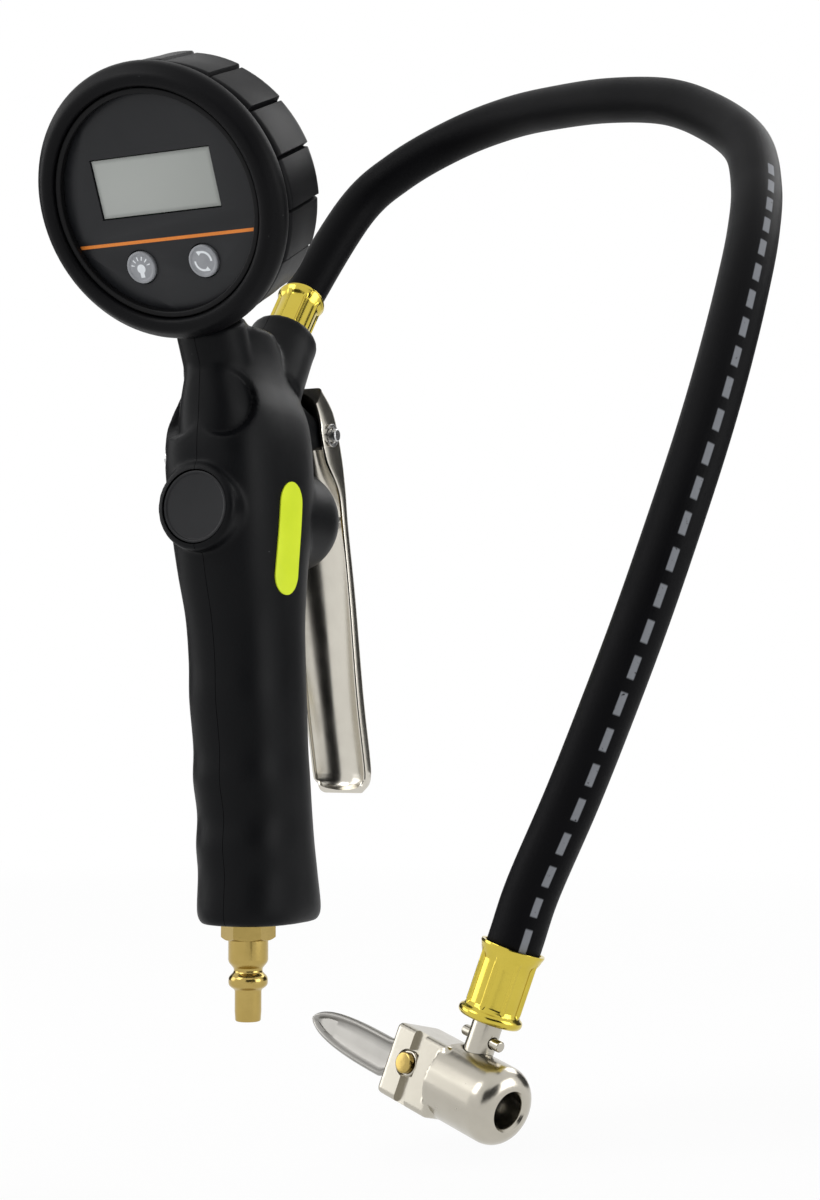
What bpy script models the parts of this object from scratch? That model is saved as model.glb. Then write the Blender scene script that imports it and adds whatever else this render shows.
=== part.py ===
"""Tyre inflator: pistol-grip valve body, digital gauge in a rubber boot, whip hose and clip-on chuck.

Metres, +Z up. The origin is the centre of the inlet plug's tip, +Y is forward (the trigger side)
and +X is the user's right. Run with: blender --background --python part.py
"""

from math import cos, pi, radians, sin, sqrt

import bmesh
import bpy
from mathutils import Matrix, Vector

# Clearances
GAP = 0.0003
RUNNING = 0.00035

# Casing: rear and front edges, half width and squareness of the grip at each height
GRIP_SECTIONS = (
    (0.0303, -0.0132, 0.0268, 0.0146, 2.5),
    (0.0325, -0.0147, 0.0281, 0.0160, 2.5),
    (0.0440, -0.0141, 0.0256, 0.0158, 2.5),
    (0.0525, -0.0153, 0.0238, 0.0157, 2.5),
    (0.0615, -0.0147, 0.0223, 0.0155, 2.5),
    (0.0720, -0.0172, 0.0210, 0.0156, 2.5),
    (0.0815, -0.0172, 0.0198, 0.0154, 2.5),
    (0.0960, -0.0196, 0.0188, 0.0156, 2.5),
    (0.1070, -0.0201, 0.0182, 0.0155, 2.5),
    (0.1200, -0.0222, 0.0180, 0.0156, 2.5),
    (0.1340, -0.0262, 0.0186, 0.0164, 2.6),
    (0.1515, -0.0292, 0.0200, 0.0176, 2.8),
    (0.1680, -0.0308, 0.0190, 0.0177, 3.0),
    (0.1840, -0.0291, 0.0176, 0.0168, 3.0),
    (0.1980, -0.0276, 0.0160, 0.0150, 2.8),
    (0.2050, -0.0262, 0.0140, 0.0132, 2.5),
)
GRIP_SIDES = 28
ROUND_SIDES = 20

# Valve axis, along Y
VALVE_Z = 0.1515
NOSE_RADIUS = 0.0165
NOSE_ROUND = 0.014
NOSE_FRONT_Y = 0.0370
CAP_BOSS_RADIUS = 0.0129
CAP_FACE_Y = -0.0322
CAP_RADIUS = 0.0106
CAP_DEPTH = 0.0032
CAP_RECESS = 0.0004
BARREL_RADIUS = 0.0098
BARREL_REAR_Y = -0.0268
BARREL_FRONT_Y = 0.0355
CHAMBER_RADIUS = 0.0056
SEAT_Y = 0.0170
SEAT_BORE_RADIUS = 0.0032
BUSH_RADIUS = 0.0066
BUSH_LENGTH = 0.0120
BUSH_FLANGE = 0.0014
PIN_RADIUS = 0.0020
PIN_TIP_Y = 0.0449
POPPET_RADIUS = 0.0046
POPPET_LENGTH = 0.0050
SEAL_LENGTH = 0.0022
PLUG_RADIUS = 0.0076
PLUG_LENGTH = 0.0080
SPRING_RADIUS = 0.0036
SPRING_WIRE = 0.0004
SPRING_TURNS = 6
RING_SECTION = 0.0008

# Inlet plug, industrial interchange pattern, tip at the origin
INLET_BORE = 0.0026
INLET_NOSE_RADIUS = 0.0040
INLET_NOSE_LENGTH = 0.0105
INLET_COLLAR_RADIUS = 0.0059
INLET_COLLAR_LENGTH = 0.0028
INLET_NECK_RADIUS = 0.0043
INLET_NECK_LENGTH = 0.0034
INLET_SHANK_RADIUS = 0.0060
INLET_SHANK_LENGTH = 0.0075
INLET_HEX_FLATS = 0.0142
INLET_HEX_LENGTH = 0.0052
INLET_THREAD_RADIUS = 0.0062
INLET_THREAD_LENGTH = 0.0110
INLET_PASSAGE = 0.0030
CORE_RADIUS = 0.0092

# Gauge: centre of the boot's front rim, leaning back over the grip
STEM_FOOT = Vector((0.0, -0.0176, 0.1928))
GAUGE_LEAN = radians(25.0)
BOOT_RADIUS = 0.0397
BOOT_LIP = 0.0066
BOOT_LIP_LENGTH = 0.0068
BOOT_DEPTH = 0.0300
BOOT_WALL = 0.0022
BOOT_PADS = 16
PAD_SHARE = 0.62
PAD_HEIGHT = 0.0018
PAD_MARGIN = 0.0030
BOOT_BACK_HOLE = 0.0110
CASE_WALL = 0.0018
BEZEL_WIDTH = 0.0020
FACE_RECESS = 0.0036
FACE_THICKNESS = 0.0012
LCD_SIZE = (0.0390, 0.0168)
LCD_CENTRE_Y = 0.0055
LCD_THICKNESS = 0.0026
BUTTON_RADIUS = 0.0047
BUTTON_SPREAD = 0.0104
BUTTON_Y = -0.0177
BUTTON_PROUD = 0.0007
BUTTON_TRAVEL = 0.0008
BUTTON_STEM = 0.0022
SWITCH_PAD_HALF = 0.0040
SWITCH_PAD_MARGIN = 0.0060
SWITCH_PAD_THICKNESS = 0.0026
CASE_STEP = 0.0010
BOARD_MARGIN = 0.0014
BOARD_THICKNESS = 0.0016
BOARD_DEPTH = 0.0128
BATTERY_RADIUS = 0.0120
BATTERY_THICKNESS = 0.0050
STEM_BODY_RADIUS = 0.0056
STEM_COLLAR_RADIUS = 0.0064
STEM_DEPTH = 0.0165
STEM_BORE = 0.0018
PORT_SOCKET_RADIUS = 0.0062
PORT_RADIUS = 0.0092
RING_SEAT = 0.0013
STEM_RISE = 0.0139
STEM_HEADROOM = 0.0012
COLLAR_RADIUS_TOP = 0.0108
COLLAR_ROUND = 0.0012
COLLAR_DEPTH = 0.0200

# Hose port and hose
HOSE_RADIUS = 0.0065
PORT_MOUTH = Vector((0.0, 0.0225, 0.2105))
PORT_RISE = radians(52.0)
PORT_BOSS_RADIUS = 0.0108
PORT_BOSS_LENGTH = 0.0250
FERRULE_RADIUS = 0.0072
FERRULE_LENGTH = 0.0180
FERRULE_RIM = 0.0022
FERRULE_SOCKET = 0.0022
FERRULE_START = -0.0030
HOSE_GRIPPED = 0.0058
HOSE_GRIP_EDGE = 0.0003
CRIMP_DEPTH = 0.0005
CRIMPS = 8
HOSE_STEM_RADIUS = 0.0029
HOSE_STEM_BORE = 0.0017
PORT_THREAD = 0.0110
JUNCTION = Vector((0.0, -0.0085, 0.1720))
OUTLET_BORE = 0.0022
HOSE_ROUTE = (
    (0.0104, 0.0491, 0.2536),
    (0.0239, 0.0539, 0.2662),
    (0.0440, 0.0540, 0.2745),
    (0.0651, 0.0481, 0.2772),
    (0.0859, 0.0370, 0.2753),
    (0.1081, 0.0236, 0.2712),
    (0.1303, 0.0106, 0.2647),
    (0.1482, -0.0029, 0.2542),
    (0.1618, -0.0177, 0.2418),
    (0.1692, -0.0339, 0.2269),
    (0.1733, -0.0501, 0.2113),
    (0.1746, -0.0642, 0.1941),
    (0.1738, -0.0766, 0.1743),
    (0.1713, -0.0859, 0.1552),
    (0.1665, -0.0934, 0.1336),
    (0.1602, -0.0978, 0.1123),
    (0.1529, -0.1004, 0.0919),
    (0.1445, -0.1010, 0.0718),
    (0.1350, -0.1012, 0.0513),
)
HOSE_END = Vector((0.1311, -0.1027, 0.0390))
HOSE_STEP = 0.024
HOSE_LEAD = 0.0015
HOSE_TAIL = 0.0170

# Trigger lever, a pressed channel hung on a cross pin
PIVOT = Vector((0.0, 0.0325, 0.1789))
LEVER_LINE = (
    (0.0280, 0.1935, 0.0070, 1.00),
    (0.0362, 0.1868, 0.0110, 1.00),
    (0.0418, 0.1745, 0.0112, 1.00),
    (0.0448, 0.1630, 0.0058, 1.00),
    (0.0467, 0.1515, 0.0046, 1.00),
    (0.0517, 0.1290, 0.0050, 1.00),
    (0.0574, 0.0980, 0.0055, 1.00),
    (0.0624, 0.0770, 0.0055, 1.00),
    (0.0632, 0.0712, 0.0052, 0.98),
    (0.0626, 0.0680, 0.0046, 0.92),
    (0.0608, 0.0660, 0.0036, 0.80),
)
LEVER_HALF_WIDTH = 0.0100
LEVER_SHEET = 0.0013
LUG_HALF_WIDTH = 0.0081
LUG_RADIUS = 0.0044
LUG_ROOT_HALF = 0.0120
LUG_ROOT_Y = 0.0060
PIVOT_PIN_RADIUS = 0.0020
PIVOT_HEAD_RADIUS = 0.0032
PIVOT_HEAD = 0.0010
CLIP_RADIUS = 0.0036
CLIP_THICKNESS = 0.0006
CLIP_MOUTH = radians(70.0)

# Pad on the casing's right side
PAD_CENTRE = (-0.0062, 0.1435)
PAD_LENGTH = 0.0335
PAD_WIDTH = 0.0092
PAD_THICKNESS = 0.0005

# Casing screws, from the left
SCREW_PLACES = ((-0.0240, 0.1670), (0.0134, 0.1180), (0.0170, 0.0480))
SCREW_RADIUS = 0.0014
SCREW_HEAD_RADIUS = 0.0027
SCREW_HEAD = 0.0018
SCREW_INSET = 0.0012
SCREW_LENGTH = 0.0180

# Chuck, on the far end of the hose: u runs out of the nose, v away from the viewer, w up the hose
CHUCK_NOSE_DIRECTION = Vector((0.8967, -0.3728, -0.2387))
CHUCK_RADIUS = 0.0093
CHUCK_NOSE_U = 0.0150
CHUCK_ROUND = 0.0038
CHUCK_BORE = 0.0042
CHUCK_BORE_DEPTH = 0.0130
CHUCK_MOUTH_BEVEL = 0.0006
CHUCK_SHOULDER_U = -0.0030
BLOCK_LENGTH = 0.0181
LEVER_PIN_SHARE = 0.62
BLOCK_HALF_THICKNESS = 0.0069
BLOCK_TOP_W = 0.0080
BLOCK_BOTTOM_W = -0.0094
BLOCK_BEVEL = 0.0014
GROOVE_WIDTH = 0.0036
GROOVE_DEPTH = 0.0014
LEVER_SLOT_HALF = 0.0036
LEVER_SLOT_DEPTH = 0.0130
STEM_RADIUS = 0.0029
STEM_LENGTH = 0.0100
STEM_SEAT_DEPTH = 0.0030
CROSS_PIN_RADIUS = 0.0011
CROSS_PIN_HALF = 0.0062
CROSS_PIN_RISE = 0.0040
LEVER_PIN_RADIUS = 0.0019
LEVER_PIN_HEAD_RADIUS = 0.0021
COLLAR_RADIUS = 0.0030
COLLAR_LENGTH = 0.0010
SPOON_LENGTH = 0.0360
SPOON_HALF_WIDTH = 0.0046
SPOON_THICKNESS = 0.0012
SPOON_RIM = 0.0011
SPOON_DROP = 0.0028
SPOON_TAPER = 0.37
SPOON_ARM_HALF = 0.0032
SPOON_ARM_HIGH = 0.0030
SPOON_HUB_RADIUS = 0.0042
SPOON_SHOULDER = 0.0070
JAW_LENGTH = 0.0062
JAW_HALF = 0.0024
JAW_TRAVEL = 0.0014
SEAL_OUTER = 0.0040
SEAL_INNER = 0.0019
SEAL_THICKNESS = 0.0026
DEPRESSOR_RADIUS = 0.0012
DEPRESSOR_HEAD = 0.0022
DEPRESSOR_LENGTH = 0.0075

# Directions that several pieces share
UP = Vector((0.0, 0.0, 1.0))
RIGHT = Vector((1.0, 0.0, 0.0))
FORWARD = Vector((0.0, 1.0, 0.0))
GAUGE_UP = Vector((0.0, -sin(GAUGE_LEAN), cos(GAUGE_LEAN)))
GAUGE_FACING = Vector((0.0, -cos(GAUGE_LEAN), -sin(GAUGE_LEAN)))
PORT_DIRECTION = Vector((0.0, cos(PORT_RISE), sin(PORT_RISE)))
STEM_REACH = BOOT_RADIUS + STEM_RISE
GAUGE_MIDDLE = STEM_FOOT + GAUGE_UP * STEM_REACH
GAUGE_CENTRE = GAUGE_MIDDLE + GAUGE_FACING * STEM_DEPTH
FERRULE_SOCKET_FAR = FERRULE_LENGTH - FERRULE_SOCKET - GAP


def frame(origin, x_axis, z_axis):
    """World matrix with its local X and Z on these two directions, the second one exact."""
    z = Vector(z_axis).normalized()
    x = Vector(x_axis)
    x = (x - z * x.dot(z)).normalized()
    y = z.cross(x)
    matrix = Matrix((x, y, z)).transposed().to_4x4()
    matrix.translation = origin
    return matrix


GAUGE_FRAME = frame(GAUGE_CENTRE, RIGHT, GAUGE_FACING)
VALVE_FRAME = frame(Vector((0.0, 0.0, VALVE_Z)), RIGHT, FORWARD)
PORT_FRAME = frame(PORT_MOUTH, RIGHT, PORT_DIRECTION)


def make_material(name, colour, roughness, metallic=0.0):
    """Principled material of one plain finish."""
    material = bpy.data.materials.new(name)
    material.use_nodes = True
    shader = material.node_tree.nodes["Principled BSDF"]
    shader.inputs["Base Color"].default_value = (*colour, 1.0)
    shader.inputs["Roughness"].default_value = roughness
    shader.inputs["Metallic"].default_value = metallic
    return material


def add_object(name, mesh_builder, material, matrix=None):
    """Object of this name from a bmesh, with outward faces and its crisp edges kept."""
    bmesh.ops.recalc_face_normals(mesh_builder, faces=mesh_builder.faces[:])
    bmesh.ops.triangulate(mesh_builder, faces=mesh_builder.faces[:])
    mesh = bpy.data.meshes.new(name)
    mesh_builder.to_mesh(mesh)
    mesh_builder.free()
    mesh.shade_smooth()
    mesh.set_sharp_from_angle(angle=radians(35.0))
    obj = bpy.data.objects.new(name, mesh)
    bpy.context.scene.collection.objects.link(obj)
    if matrix is not None:
        obj.matrix_world = matrix
    if material is not None:
        mesh.materials.append(material)
    return obj


def helper(obj):
    """Keeps a cutter or a shape to be joined out of the finished part."""
    obj.hide_render = True
    obj.display_type = "WIRE"
    return obj


def combine(target, other, operation):
    """Boolean of this kind on the target, with the other object as its helper."""
    modifier = target.modifiers.new(f"{operation.lower()} {other.name}", "BOOLEAN")
    modifier.operation = operation
    modifier.object = helper(other)
    modifier.solver = "MANIFOLD"
    return target


def cut(target, *others):
    """Takes each of the other objects out of the target."""
    for other in others:
        combine(target, other, "DIFFERENCE")
    return target


def fuse(target, *others):
    """Joins each of the other objects to the target."""
    for other in others:
        combine(target, other, "UNION")
    return target


def skin(rings, closed):
    """Bmesh over rings of points: capped at both ends, or closed on itself like a tyre."""
    builder = bmesh.new()
    loops = [[builder.verts.new(point) for point in ring] for ring in rings]
    count = len(loops[0])
    pairs = list(zip(loops, loops[1:]))
    if closed:
        pairs.append((loops[-1], loops[0]))
    for lower, upper in pairs:
        for i in range(count):
            j = (i + 1) % count
            builder.faces.new((lower[i], lower[j], upper[j], upper[i]))
    if not closed:
        builder.faces.new(loops[0])
        builder.faces.new(loops[-1])
    return builder


def turned(profile, sides=ROUND_SIDES, closed=False):
    """Bmesh turned about Z from (radius, z) points; a closed profile makes a ring with a bore."""
    angles = [2.0 * pi * i / sides for i in range(sides)]
    rings = [[(r * cos(a), r * sin(a), z) for a in angles] for r, z in profile]
    return skin(rings, closed)


def rod(radius, start_z, end_z, sides=ROUND_SIDES):
    """Plain turned rod along Z."""
    return turned(((radius, start_z), (radius, end_z)), sides)


def tube(outer, inner, start_z, end_z, sides=ROUND_SIDES):
    """Turned sleeve along Z."""
    return turned(((outer, start_z), (outer, end_z), (inner, end_z), (inner, start_z)), sides, True)


def prism(outline, start_z, end_z):
    """Bmesh of an outline in X and Y, drawn out along Z."""
    return skin([[(x, y, z) for x, y in outline] for z in (start_z, end_z)], False)


def block(low, high):
    """Bmesh of a box between two corners."""
    outline = ((low[0], low[1]), (high[0], low[1]), (high[0], high[1]), (low[0], high[1]))
    return prism(outline, low[2], high[2])


def soften(obj, width, segments=2):
    """Rounds the crisp edges of an object."""
    modifier = obj.modifiers.new("edge round", "BEVEL")
    modifier.width = width
    modifier.segments = segments
    modifier.limit_method = "ANGLE"
    modifier.angle_limit = radians(40.0)
    return obj


def merge_flats(obj):
    """Joins the coplanar faces that Booleans leave behind."""
    modifier = obj.modifiers.new("flat faces", "DECIMATE")
    modifier.decimate_type = "DISSOLVE"
    modifier.angle_limit = radians(0.8)
    return obj


def between(name, start, end, radius, sides=ROUND_SIDES):
    """Helper rod from one point to another."""
    start = Vector(start)
    end = Vector(end)
    span = end - start
    return add_object(name, rod(radius, 0.0, span.length, sides), None, frame(start, RIGHT, span))


def helix(name, radius, wire, start_z, end_z, turns, material, matrix):
    """Coil spring along Z as one unbroken wire."""
    steps = 8
    curve = bpy.data.curves.new(name, "CURVE")
    curve.dimensions = "3D"
    curve.bevel_depth = wire
    curve.bevel_resolution = 1
    curve.use_fill_caps = True
    spline = curve.splines.new("POLY")
    count = steps * turns + 1
    spline.points.add(count - 1)
    low = start_z + wire
    high = end_z - wire
    for i, point in enumerate(spline.points):
        angle = 2.0 * pi * i / steps
        height = low + (high - low) * i / (count - 1)
        point.co = (radius * cos(angle), radius * sin(angle), height, 1.0)
    obj = bpy.data.objects.new(name, curve)
    obj.matrix_world = matrix
    curve.materials.append(material)
    bpy.context.scene.collection.objects.link(obj)
    return obj


def grip_ring(section, inset=0.0):
    """Rounded ring of the grip at one height, moved in by the inset."""
    z, rear, front, half, power = section
    middle = (rear + front) / 2.0
    reach = (front - rear) / 2.0 - inset
    points = []
    for i in range(GRIP_SIDES):
        angle = 2.0 * pi * i / GRIP_SIDES
        c = cos(angle)
        s = sin(angle)
        x = (half - inset) * abs(c) ** (2.0 / power) * (1 if c >= 0 else -1)
        y = reach * abs(s) ** (2.0 / power) * (1 if s >= 0 else -1)
        points.append((x, middle + y, z))
    return points


def grip_width_at(z, y):
    """Half width of the grip's side at this height and depth."""
    for low, high in zip(GRIP_SECTIONS, GRIP_SECTIONS[1:]):
        if low[0] <= z <= high[0]:
            share = (z - low[0]) / (high[0] - low[0])
            _, rear, front, half, power = (a + (b - a) * share for a, b in zip(low, high))
            across = abs(y - (rear + front) / 2.0) / ((front - rear) / 2.0)
            return half * (1.0 - across**power) ** (1.0 / power)
    raise ValueError("height is outside the grip")


def rounded_profile(radius, start_z, end_z, round_radius, steps=5):
    """Turned profile of a rod whose end is rounded."""
    profile = [(radius, start_z)]
    for i in range(steps + 1):
        angle = pi / 2.0 * i / steps
        r = radius - round_radius * (1.0 - cos(angle))
        profile.append((r, end_z - round_radius * (1.0 - sin(angle))))
    return profile


def casing_shape(name):
    """Whole outer form of the casing, before it is hollowed and split."""
    shape = add_object(name, skin([grip_ring(section) for section in GRIP_SECTIONS], False), None)
    nose = turned(rounded_profile(NOSE_RADIUS, -0.0043, NOSE_FRONT_Y, NOSE_ROUND))
    nose_obj = add_object(f"{name} nose", nose, None, VALVE_FRAME)
    boss = rounded_profile(CAP_BOSS_RADIUS, 0.0021, -CAP_FACE_Y, 0.0012, 2)
    boss_frame = frame(VALVE_FRAME.translation, RIGHT, -FORWARD)
    boss_obj = add_object(f"{name} boss", turned(boss), None, boss_frame)
    port = rounded_profile(PORT_BOSS_RADIUS, -PORT_BOSS_LENGTH, 0.0, 0.0015, 2)
    port_obj = add_object(f"{name} port", turned(port), None, PORT_FRAME)
    collar = rounded_profile(COLLAR_RADIUS_TOP, -COLLAR_DEPTH, STEM_RISE - STEM_HEADROOM, COLLAR_ROUND, 2)
    collar_obj = add_object(f"{name} collar", turned(collar, 24), None, frame(STEM_FOOT, RIGHT, GAUGE_UP))
    fuse(shape, nose_obj, boss_obj, port_obj, collar_obj, lug_shape(f"{name} lug"))
    return shape


def lug_shape(name):
    """Pivot lug that stands out of the neck between the lever's ears."""
    outline = []
    for i in range(13):
        angle = -pi * 0.62 + pi * 1.24 * i / 12
        outline.append((PIVOT.y + LUG_RADIUS * cos(angle), PIVOT.z + LUG_RADIUS * sin(angle)))
    outline.append((LUG_ROOT_Y, PIVOT.z + LUG_ROOT_HALF))
    outline.append((LUG_ROOT_Y, PIVOT.z - LUG_ROOT_HALF))
    sideways = Matrix(((0, 0, 1, 0), (1, 0, 0, 0), (0, 1, 0, 0), (0, 0, 0, 1)))
    return add_object(name, prism(outline, -LUG_HALF_WIDTH, LUG_HALF_WIDTH), None, sideways)


def core_shape(name, grow):
    """Outer form of the valve block, grown all round by the given clearance."""
    core_top = VALVE_Z
    low = inlet_hex_top() + GAP - grow
    shape = add_object(name, rod(CORE_RADIUS + grow, low, core_top), None)
    barrel = rod(BARREL_RADIUS + grow, BARREL_REAR_Y - grow, BARREL_FRONT_Y + grow)
    barrel_obj = add_object(f"{name} barrel", barrel, None, VALVE_FRAME)
    riser_foot = Vector((0.0, SEAT_Y + 0.0035, VALVE_Z))
    riser = between(f"{name} riser", riser_foot, JUNCTION, PORT_RADIUS - 0.0016 + grow)
    gauge_port = port_rod(f"{name} gauge port", JUNCTION, STEM_FOOT + GAUGE_UP * 0.008, grow)
    hose_port = port_rod(f"{name} hose port", JUNCTION, PORT_MOUTH - PORT_DIRECTION * 0.0035, grow)
    fuse(shape, barrel_obj, riser, gauge_port, hose_port)
    return shape


def port_rod(name, start, mouth, grow):
    """Outer rod of one outlet port, from the junction to its mouth."""
    along = (mouth - start).normalized()
    return between(name, start - along * 0.004, mouth + along * grow, PORT_RADIUS + grow)


def inlet_hex_top():
    """Height where the inlet plug's hexagon meets the valve block."""
    return (
        INLET_NOSE_LENGTH
        + INLET_COLLAR_LENGTH
        + INLET_NECK_LENGTH
        + INLET_SHANK_LENGTH
        + INLET_HEX_LENGTH
    )


def build_casing(black):
    """Two moulded halves that meet on the middle plane, and the screws that hold them."""
    far = 0.4
    halves = (("casing_left", -1), ("casing_right", 1))
    for name, side in halves:
        half = casing_shape(name)
        half.data.materials.append(black)
        cut(half, core_shape(f"{name} hollow", GAP))
        cut(half, *casing_openings(name))
        if side > 0:
            keeper = block((GAP / 2.0, -far, -far), (far, far, far))
        else:
            keeper = block((-far, -far, -far), (-GAP / 2.0, far, far))
        combine(half, add_object(f"{name} side", keeper, None), "INTERSECT")
        merge_flats(cut(half, *screw_holes(name, side)))


def casing_openings(name):
    """Cutters for the cap seat, the pin, the inlet, the ports and the pivot."""
    rear = frame(VALVE_FRAME.translation, RIGHT, -FORWARD)
    seat = rod(CAP_RADIUS + GAP, -BARREL_REAR_Y - GAP, -CAP_FACE_Y + 0.01)
    nose = rod(BUSH_RADIUS + BUSH_FLANGE + GAP, BARREL_FRONT_Y, NOSE_FRONT_Y + 0.01)
    pivot = rod(PIVOT_PIN_RADIUS + RUNNING, -0.02, 0.02, 16)
    hose = rod(FERRULE_RADIUS + GAP * 2, -0.0040, 0.01)
    gauge = rod(STEM_COLLAR_RADIUS + GAP * 2, -0.002, 0.02)
    return (
        add_object(f"{name} cap seat", seat, None, rear),
        add_object(f"{name} nose hole", nose, None, VALVE_FRAME),
        add_object(f"{name} pivot hole", pivot, None, frame(PIVOT, FORWARD, RIGHT)),
        add_object(f"{name} hose hole", hose, None, PORT_FRAME),
        add_object(f"{name} gauge hole", gauge, None, frame(STEM_FOOT, RIGHT, GAUGE_UP)),
        add_object(f"{name} inlet hole", rod(CORE_RADIUS + GAP, 0.0, 0.05), None),
    )


def screw_head_x(y, z):
    """Where a screw's head face sits, inset from the left half's surface."""
    return -grip_width_at(z, y) + SCREW_INSET


def screw_holes(name, side):
    """Cutters for the casing screws: head pockets on the left, blind holes on the right."""
    holes = []
    for i, (y, z) in enumerate(SCREW_PLACES):
        head = screw_head_x(y, z)
        axis = frame(Vector((head, y, z)), FORWARD, RIGHT)
        shank = rod(SCREW_RADIUS + GAP, -0.02, SCREW_LENGTH + GAP, 16)
        holes.append(add_object(f"{name} screw {i}", shank, None, axis))
        if side < 0:
            pocket = rod(SCREW_HEAD_RADIUS + GAP, -0.02, SCREW_HEAD + GAP, 20)
            holes.append(add_object(f"{name} pocket {i}", pocket, None, axis))
    return holes


def build_screws(steel):
    """One node for each of the casing screws."""
    for i, (y, z) in enumerate(SCREW_PLACES):
        axis = frame(Vector((screw_head_x(y, z), y, z)), FORWARD, RIGHT)
        profile = (
            (SCREW_HEAD_RADIUS, 0.0),
            (SCREW_HEAD_RADIUS, SCREW_HEAD),
            (SCREW_RADIUS, SCREW_HEAD),
            (SCREW_RADIUS, SCREW_LENGTH),
        )
        screw = add_object(f"casing_screw_{i + 1}", turned(profile, 16), steel, axis)
        slot = block((-0.004, -0.0004, -0.001), (0.004, 0.0004, 0.0008))
        cut(screw, add_object(f"screw slot {i}", slot, None, axis))


def build_valve_block(cast_metal):
    """Die-cast manifold with its inlet, chamber, outlet and port passages."""
    body = core_shape("valve_block", 0.0)
    body.data.materials.append(cast_metal)
    hex_top = inlet_hex_top()
    chamber_rear = BARREL_REAR_Y + PLUG_LENGTH
    riser_foot = Vector((0.0, SEAT_Y + 0.0035, VALVE_Z))
    stem_axis = frame(STEM_FOOT, RIGHT, GAUGE_UP)
    cutters = (
        add_object("inlet socket", rod(INLET_THREAD_RADIUS + GAP, 0.0, hex_top + INLET_THREAD_LENGTH + GAP * 2), None),
        add_object("inlet passage", rod(INLET_PASSAGE, 0.0, VALVE_Z, 16), None),
        add_object("plug socket", rod(PLUG_RADIUS + GAP, -0.1, chamber_rear + GAP), None, VALVE_FRAME),
        add_object("chamber", rod(CHAMBER_RADIUS, -0.1, SEAT_Y), None, VALVE_FRAME),
        add_object("seat bore", rod(SEAT_BORE_RADIUS, 0.0, 0.1), None, VALVE_FRAME),
        add_object("bush socket", rod(BUSH_RADIUS + GAP, BARREL_FRONT_Y - BUSH_LENGTH - GAP, 0.1), None, VALVE_FRAME),
        between("riser passage", riser_foot, JUNCTION, OUTLET_BORE, 16),
        between("gauge passage", JUNCTION, STEM_FOOT + GAUGE_UP * 0.02, OUTLET_BORE, 16),
        between("hose passage", JUNCTION, PORT_MOUTH, OUTLET_BORE, 16),
        add_object("gauge socket", rod(PORT_SOCKET_RADIUS + GAP, -GAP, 0.05), None, stem_axis),
        add_object("hose socket", rod(PORT_SOCKET_RADIUS + GAP, -0.0035 - PORT_THREAD - GAP, 0.05), None, PORT_FRAME),
    )
    merge_flats(cut(body, *cutters))


def build_inlet_plug(brass):
    """Brass inlet plug: nose, locking collar, neck, shank, hexagon and thread, bored through."""
    z1 = INLET_NOSE_LENGTH
    z2 = z1 + INLET_COLLAR_LENGTH
    z3 = z2 + INLET_NECK_LENGTH
    z4 = z3 + INLET_SHANK_LENGTH
    hex_top = inlet_hex_top()
    end = hex_top + INLET_THREAD_LENGTH
    profile = (
        (INLET_NOSE_RADIUS - 0.0005, 0.0),
        (INLET_NOSE_RADIUS, 0.0006),
        (INLET_NOSE_RADIUS, z1 - 0.0012),
        (INLET_COLLAR_RADIUS, z1),
        (INLET_COLLAR_RADIUS, z2),
        (INLET_NECK_RADIUS, z2 + 0.0010),
        (INLET_NECK_RADIUS, z3 - 0.0012),
        (INLET_SHANK_RADIUS, z3 + 0.0006),
        (INLET_SHANK_RADIUS, z4 + 0.0008),
        (INLET_THREAD_RADIUS, hex_top - 0.0008),
        (INLET_THREAD_RADIUS, end),
        (INLET_BORE, end),
        (INLET_BORE, 0.0),
    )
    plug = add_object("inlet_plug", turned(profile, ROUND_SIDES, True), brass)
    across = INLET_HEX_FLATS / 2.0 / cos(pi / 6.0)
    corners = [(across * cos(pi / 3.0 * i), across * sin(pi / 3.0 * i)) for i in range(6)]
    nut = add_object("inlet hexagon", prism(corners, z4, hex_top), None)
    cut(nut, add_object("inlet hexagon bore", rod(INLET_SHANK_RADIUS - 0.0004, 0.0, 0.1), None))
    merge_flats(fuse(plug, nut))


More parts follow.
